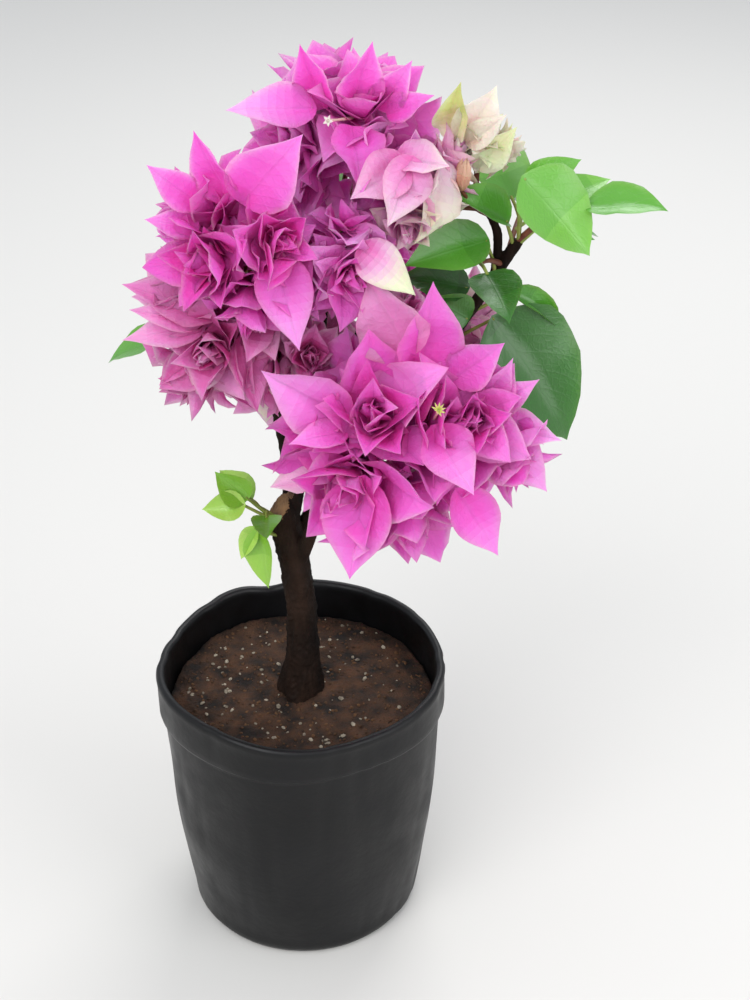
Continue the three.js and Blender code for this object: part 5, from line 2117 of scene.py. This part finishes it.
    def tubes(self, name: str, finish: Material, wires: list[Arrays]) -> Piece:
        """Wrap the kept stems and stalks in tubes with a Geometry Nodes tree.

        Args:
            name: The piece's name.
            finish: Its material.
            wires: Points and radii of each line, in millimetres.

        Returns:
            The piece, as a plain mesh.
        """
        mesh = bpy.data.meshes.new(name)
        places = np.vstack([points for points, _ in wires]) * MM
        edges, count = [], 0
        for points, _ in wires:
            edges += [(count + i, count + i + 1) for i in range(len(points) - 1)]
            count += len(points)
        mesh.from_pydata(places.tolist(), edges, [])
        girth = mesh.attributes.new("girth", "FLOAT", "POINT")
        girth.data.foreach_set("value", np.concatenate([g for _, g in wires]) * MM)
        return grown(linked(name, mesh), tube_tree(), {"Sides": 8, "Thickness": 1.0, "Finish": finish})

    def build(self, palette: Palette) -> dict[str, Piece]:
        """Grow everything and make its pieces.

        Args:
            palette: The plant's materials.

        Returns:
            Each piece by its name.
        """
        for mass in self.masses:
            if isinstance(mass.spec, Head):
                self.grow_head(mass)
            else:
                self.grow_spray(mass)
        self.place_leading()
        pieces = {
            patch.label: skin.piece(patch.label, palette.blades[patch.family])
            for patch, skin in self.skins.items()
        }
        for name, finish in (("twigs", Finish.YOUNG_WOOD), ("stalks", Finish.GREEN_STALK)):
            pieces[name] = self.tubes(name, palette.plain[finish], self.wires[finish])
        return pieces


@dataclass
class TrueFlowers:
    """The small true flowers in the hearts of some rosettes, and the bud beside the young head."""

    crown: Crown
    share: float = 0.3
    tube_length: float = 11
    tube_radius: float = 0.6
    tube_swell: tuple[float, ...] = (0.8, 1.1, 0.75, 1.1)
    closed_length: float = 0.55
    rise: float = 2
    open_share: float = 0.6
    open_lobes: tuple[int, float, float] = (5, 78, 0.62)
    closed_lobes: tuple[int, float, float] = (9, 40, 0.26)
    star_reach: float = 2.2
    tuft_reach: float = 1.8
    shown_length: float = 25
    least_facing: float = 0.2
    shown: tuple[tuple[Point, bool], ...] = (((15, -14, 250), True), ((51, -76, 173), False))
    bud_base: Point = (61, -3, 220)
    bud_way: Point = (0.1, -0.2, 1)
    bud_length: float = 14.5
    bud_width: float = 0.6
    bud_bracts: int = 7
    bud_lean: float = 36
    bud_fork: float = 0.72
    bud_stem: tuple[float, float] = (0.85, 0.7)

    def flower(self, skin: Skin, base: np.ndarray, end: np.ndarray, is_open: bool, seed: int) -> None:
        """Add a flower: a slim tube with a star of five lobes, or a tuft of narrow green lobes.

        Args:
            skin: The skin that it goes into.
            base: The foot of its tube, in millimetres.
            end: The end of its tube.
            is_open: Whether its star is open and white.
            seed: What its bend is drawn from.
        """
        way = unit(end - base)
        line = Line([base, (base + end) / 2 + leaning(way, math.pi / 2, seed) * 0.8, end])
        radii = np.interp(np.linspace(0, 1, 9), [0, 0.3, 0.8, 1], self.tube_swell) * self.tube_radius
        skin.add(*tube(line, radii, 8, 8), 0)
        lobes, tilt, width = self.open_lobes if is_open else self.closed_lobes
        reach = self.star_reach * (1 if is_open else self.tuft_reach)
        for k in range(lobes):
            out = leaning(way, math.radians(tilt + jitter(seed, k, 12)), k * 2 * math.pi / lobes)
            petal = Blade(end - way * 0.4, out, way, reach, width, Kind.PETAL.value)
            tints = np.full(len(layout(petal.form).corners), 1 if is_open else 2, np.int32)
            petal.lay(skin, 1.0, tints)

    def seen_at(self, point: Point) -> Arrays:
        """Find where a flower of the photograph grows: from the heart nearest to its line of sight.

        Args:
            point: A place on the line of sight, above ground.

        Returns:
            The ends of its tube.
        """
        eye = np.array(Studio.camera_place)
        sight = unit(above_ground(point) - eye)
        best, ends = math.inf, (eye, eye)
        for centre, axis in self.crown.hearts:
            base = centre + axis * self.rise
            along = float((base - eye) @ sight)
            aside = float(np.linalg.norm(base - eye - sight * along))
            if float(axis @ sight) < -self.least_facing and aside < min(best, self.shown_length):
                reach = math.sqrt(self.shown_length**2 - aside**2)
                best, ends = aside, (base, eye + sight * (along - reach))
        return ends

    def bud(self) -> None:
        """Add the closed salmon bud to the young head."""
        base, way = above_ground(self.bud_base), unit(np.array(self.bud_way))
        skin, fork = self.crown.skins[Patch.YOUNG], self.crown.wood.lines["bough_right_fork"]
        start = fork.at(self.bud_fork)
        line = Line([start, (start + base) / 2 - UP * 1.5, base + way])
        self.crown.wire(line, self.bud_stem, Finish.YOUNG_WOOD)
        for k in range(self.bud_bracts):
            turn = k * 2 * math.pi / self.bud_bracts
            out = leaning(way, math.radians(self.bud_lean + 5 * (k % 2)), turn)
            inward = -leaning(way, math.pi / 2, turn)
            blade = Blade(base + out * 0.5, out, inward, self.bud_length, self.bud_width, Kind.BUD.value)
            blade.lay(skin, 1.0, blade.shades(Family.YOUNG, 0.02, 0.12, 0.0))

    def build(self, palette: Palette) -> Piece:
        """Build the flowers' piece.

        Args:
            palette: The plant's materials.

        Returns:
            The piece.
        """
        skin = Skin()
        for k, (point, is_open) in enumerate(self.shown):
            self.flower(skin, *self.seen_at(point), is_open, k)
        for k, (centre, axis) in enumerate(self.crown.hearts):
            if chance(5, k) < self.share:
                is_open = chance(6, k) < self.open_share
                reach = self.rise + self.tube_length * (1 if is_open else self.closed_length)
                self.flower(skin, centre + axis * self.rise, centre + axis * reach, is_open, k + 10)
        finishes = [palette.plain[finish] for finish in (Finish.FLOWER_TUBE, Finish.PETAL, Finish.STAR)]
        return skin.piece("true_flowers", finishes)


# The studio.


@dataclass
class Studio:
    """The pale floor, the soft lights and the camera, which stands where the photograph was taken from."""

    camera_place: Point = (25, -566, 549.5)
    aim: Point = (31, 0, 199)
    half_height: float = 16.4
    floor_reach: float = 4.0
    floor_colour: str = "#dcdad6"
    sky: tuple[float, ...] = (0.9, 0.94, 1.0, 1)
    sky_strength: float = 0.7
    lit: Point = (0.02, 0, 0.22)
    lights: tuple[tuple[str, Point, float, float], ...] = (
        ("key", (-0.5, -1.0, 1.2), 1.2, 15),
        ("fill", (1.1, -0.7, 0.7), 1.0, 7),
        ("back", (0.3, 0.9, 1.2), 0.8, 8),
    )

    def floor(self) -> None:
        """Lay the pale floor."""
        mesh, reach = bpy.data.meshes.new("floor"), self.floor_reach
        corners = [(x * reach, y * reach, 0) for x, y in ((-1, -1), (1, -1), (1, 1), (-1, 1))]
        mesh.from_pydata(corners, [], [(0, 1, 2, 3)])
        material, _, _ = new_material("floor", {"Base Color": linear(self.floor_colour), "Roughness": 0.9})
        mesh.materials.append(material)
        linked("floor", mesh)

    def light(self, name: str, place: Point, size: float, power: float) -> None:
        """Hang a soft square light that points at the plant.

        Args:
            name: Its name.
            place: Where it hangs, in metres.
            size: Its side, in metres.
            power: Its power, in watts.
        """
        data = bpy.data.lights.new(name, "AREA")
        data.size, data.energy = size, power
        lamp = linked(name, data)
        lamp.location = place
        lamp.rotation_euler = (Vector(self.lit) - Vector(place)).to_track_quat("-Z", "Y").to_euler()

    def build(self) -> None:
        """Set up the floor, the lights, the world and the camera."""
        self.floor()
        for light in self.lights:
            self.light(*light)
        world = bpy.data.worlds.new("studio")
        world.use_nodes = True
        sky = world.node_tree.nodes["Background"]
        sky.inputs["Color"].default_value = self.sky
        sky.inputs["Strength"].default_value = self.sky_strength
        scene = bpy.context.scene
        scene.world = world
        scene.view_settings.view_transform = "Standard"
        data = bpy.data.cameras.new("camera")
        data.sensor_fit = "VERTICAL"
        data.angle = 2 * math.radians(self.half_height)
        camera = linked("camera", data)
        camera.location = Vector(self.camera_place) * MM
        camera.rotation_euler = (Vector(self.aim) * MM - camera.location).to_track_quat("-Z", "Y").to_euler()
        scene.camera = camera


def attach(piece: Piece, nodes: list[str]) -> None:
    """Ride a piece on the plant's one body and the solids that it stands for.

    Args:
        piece: The piece.
        nodes: The CAD nodes that it replaces.
    """
    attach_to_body(piece, "root")
    if nodes:
        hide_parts(*nodes)
    log.info("%s: %d faces", piece.name, len(piece.data.polygons))


def main() -> None:
    """Build the plant piece by piece, then the studio round it."""
    logging.basicConfig(level=logging.INFO, format="%(message)s")
    palette = Palette()
    pot = Pot()
    attach(pot.build(palette), ["pot"])
    soil = Soil(pot)
    attach(soil.build(palette), ["soil"])
    for stones in Stones:
        attach(soil.strewn(stones, palette), [])
    wood = Wood()
    attach(wood.build(palette), ["trunk", *[bough.name for bough in BOUGHS]])
    crown = Crown(wood)
    flowers = TrueFlowers(crown)
    flowers.bud()
    pieces = crown.build(palette)
    for patch in Patch:
        owned = [mass.spec.name for mass in crown.masses if mass.spec.patch is patch]
        attach(pieces[patch.label], owned)
    attach(pieces["twigs"], [])
    attach(pieces["stalks"], [])
    attach(flowers.build(palette), [])
    Studio().build()


if __name__ == "__main__":
    main()
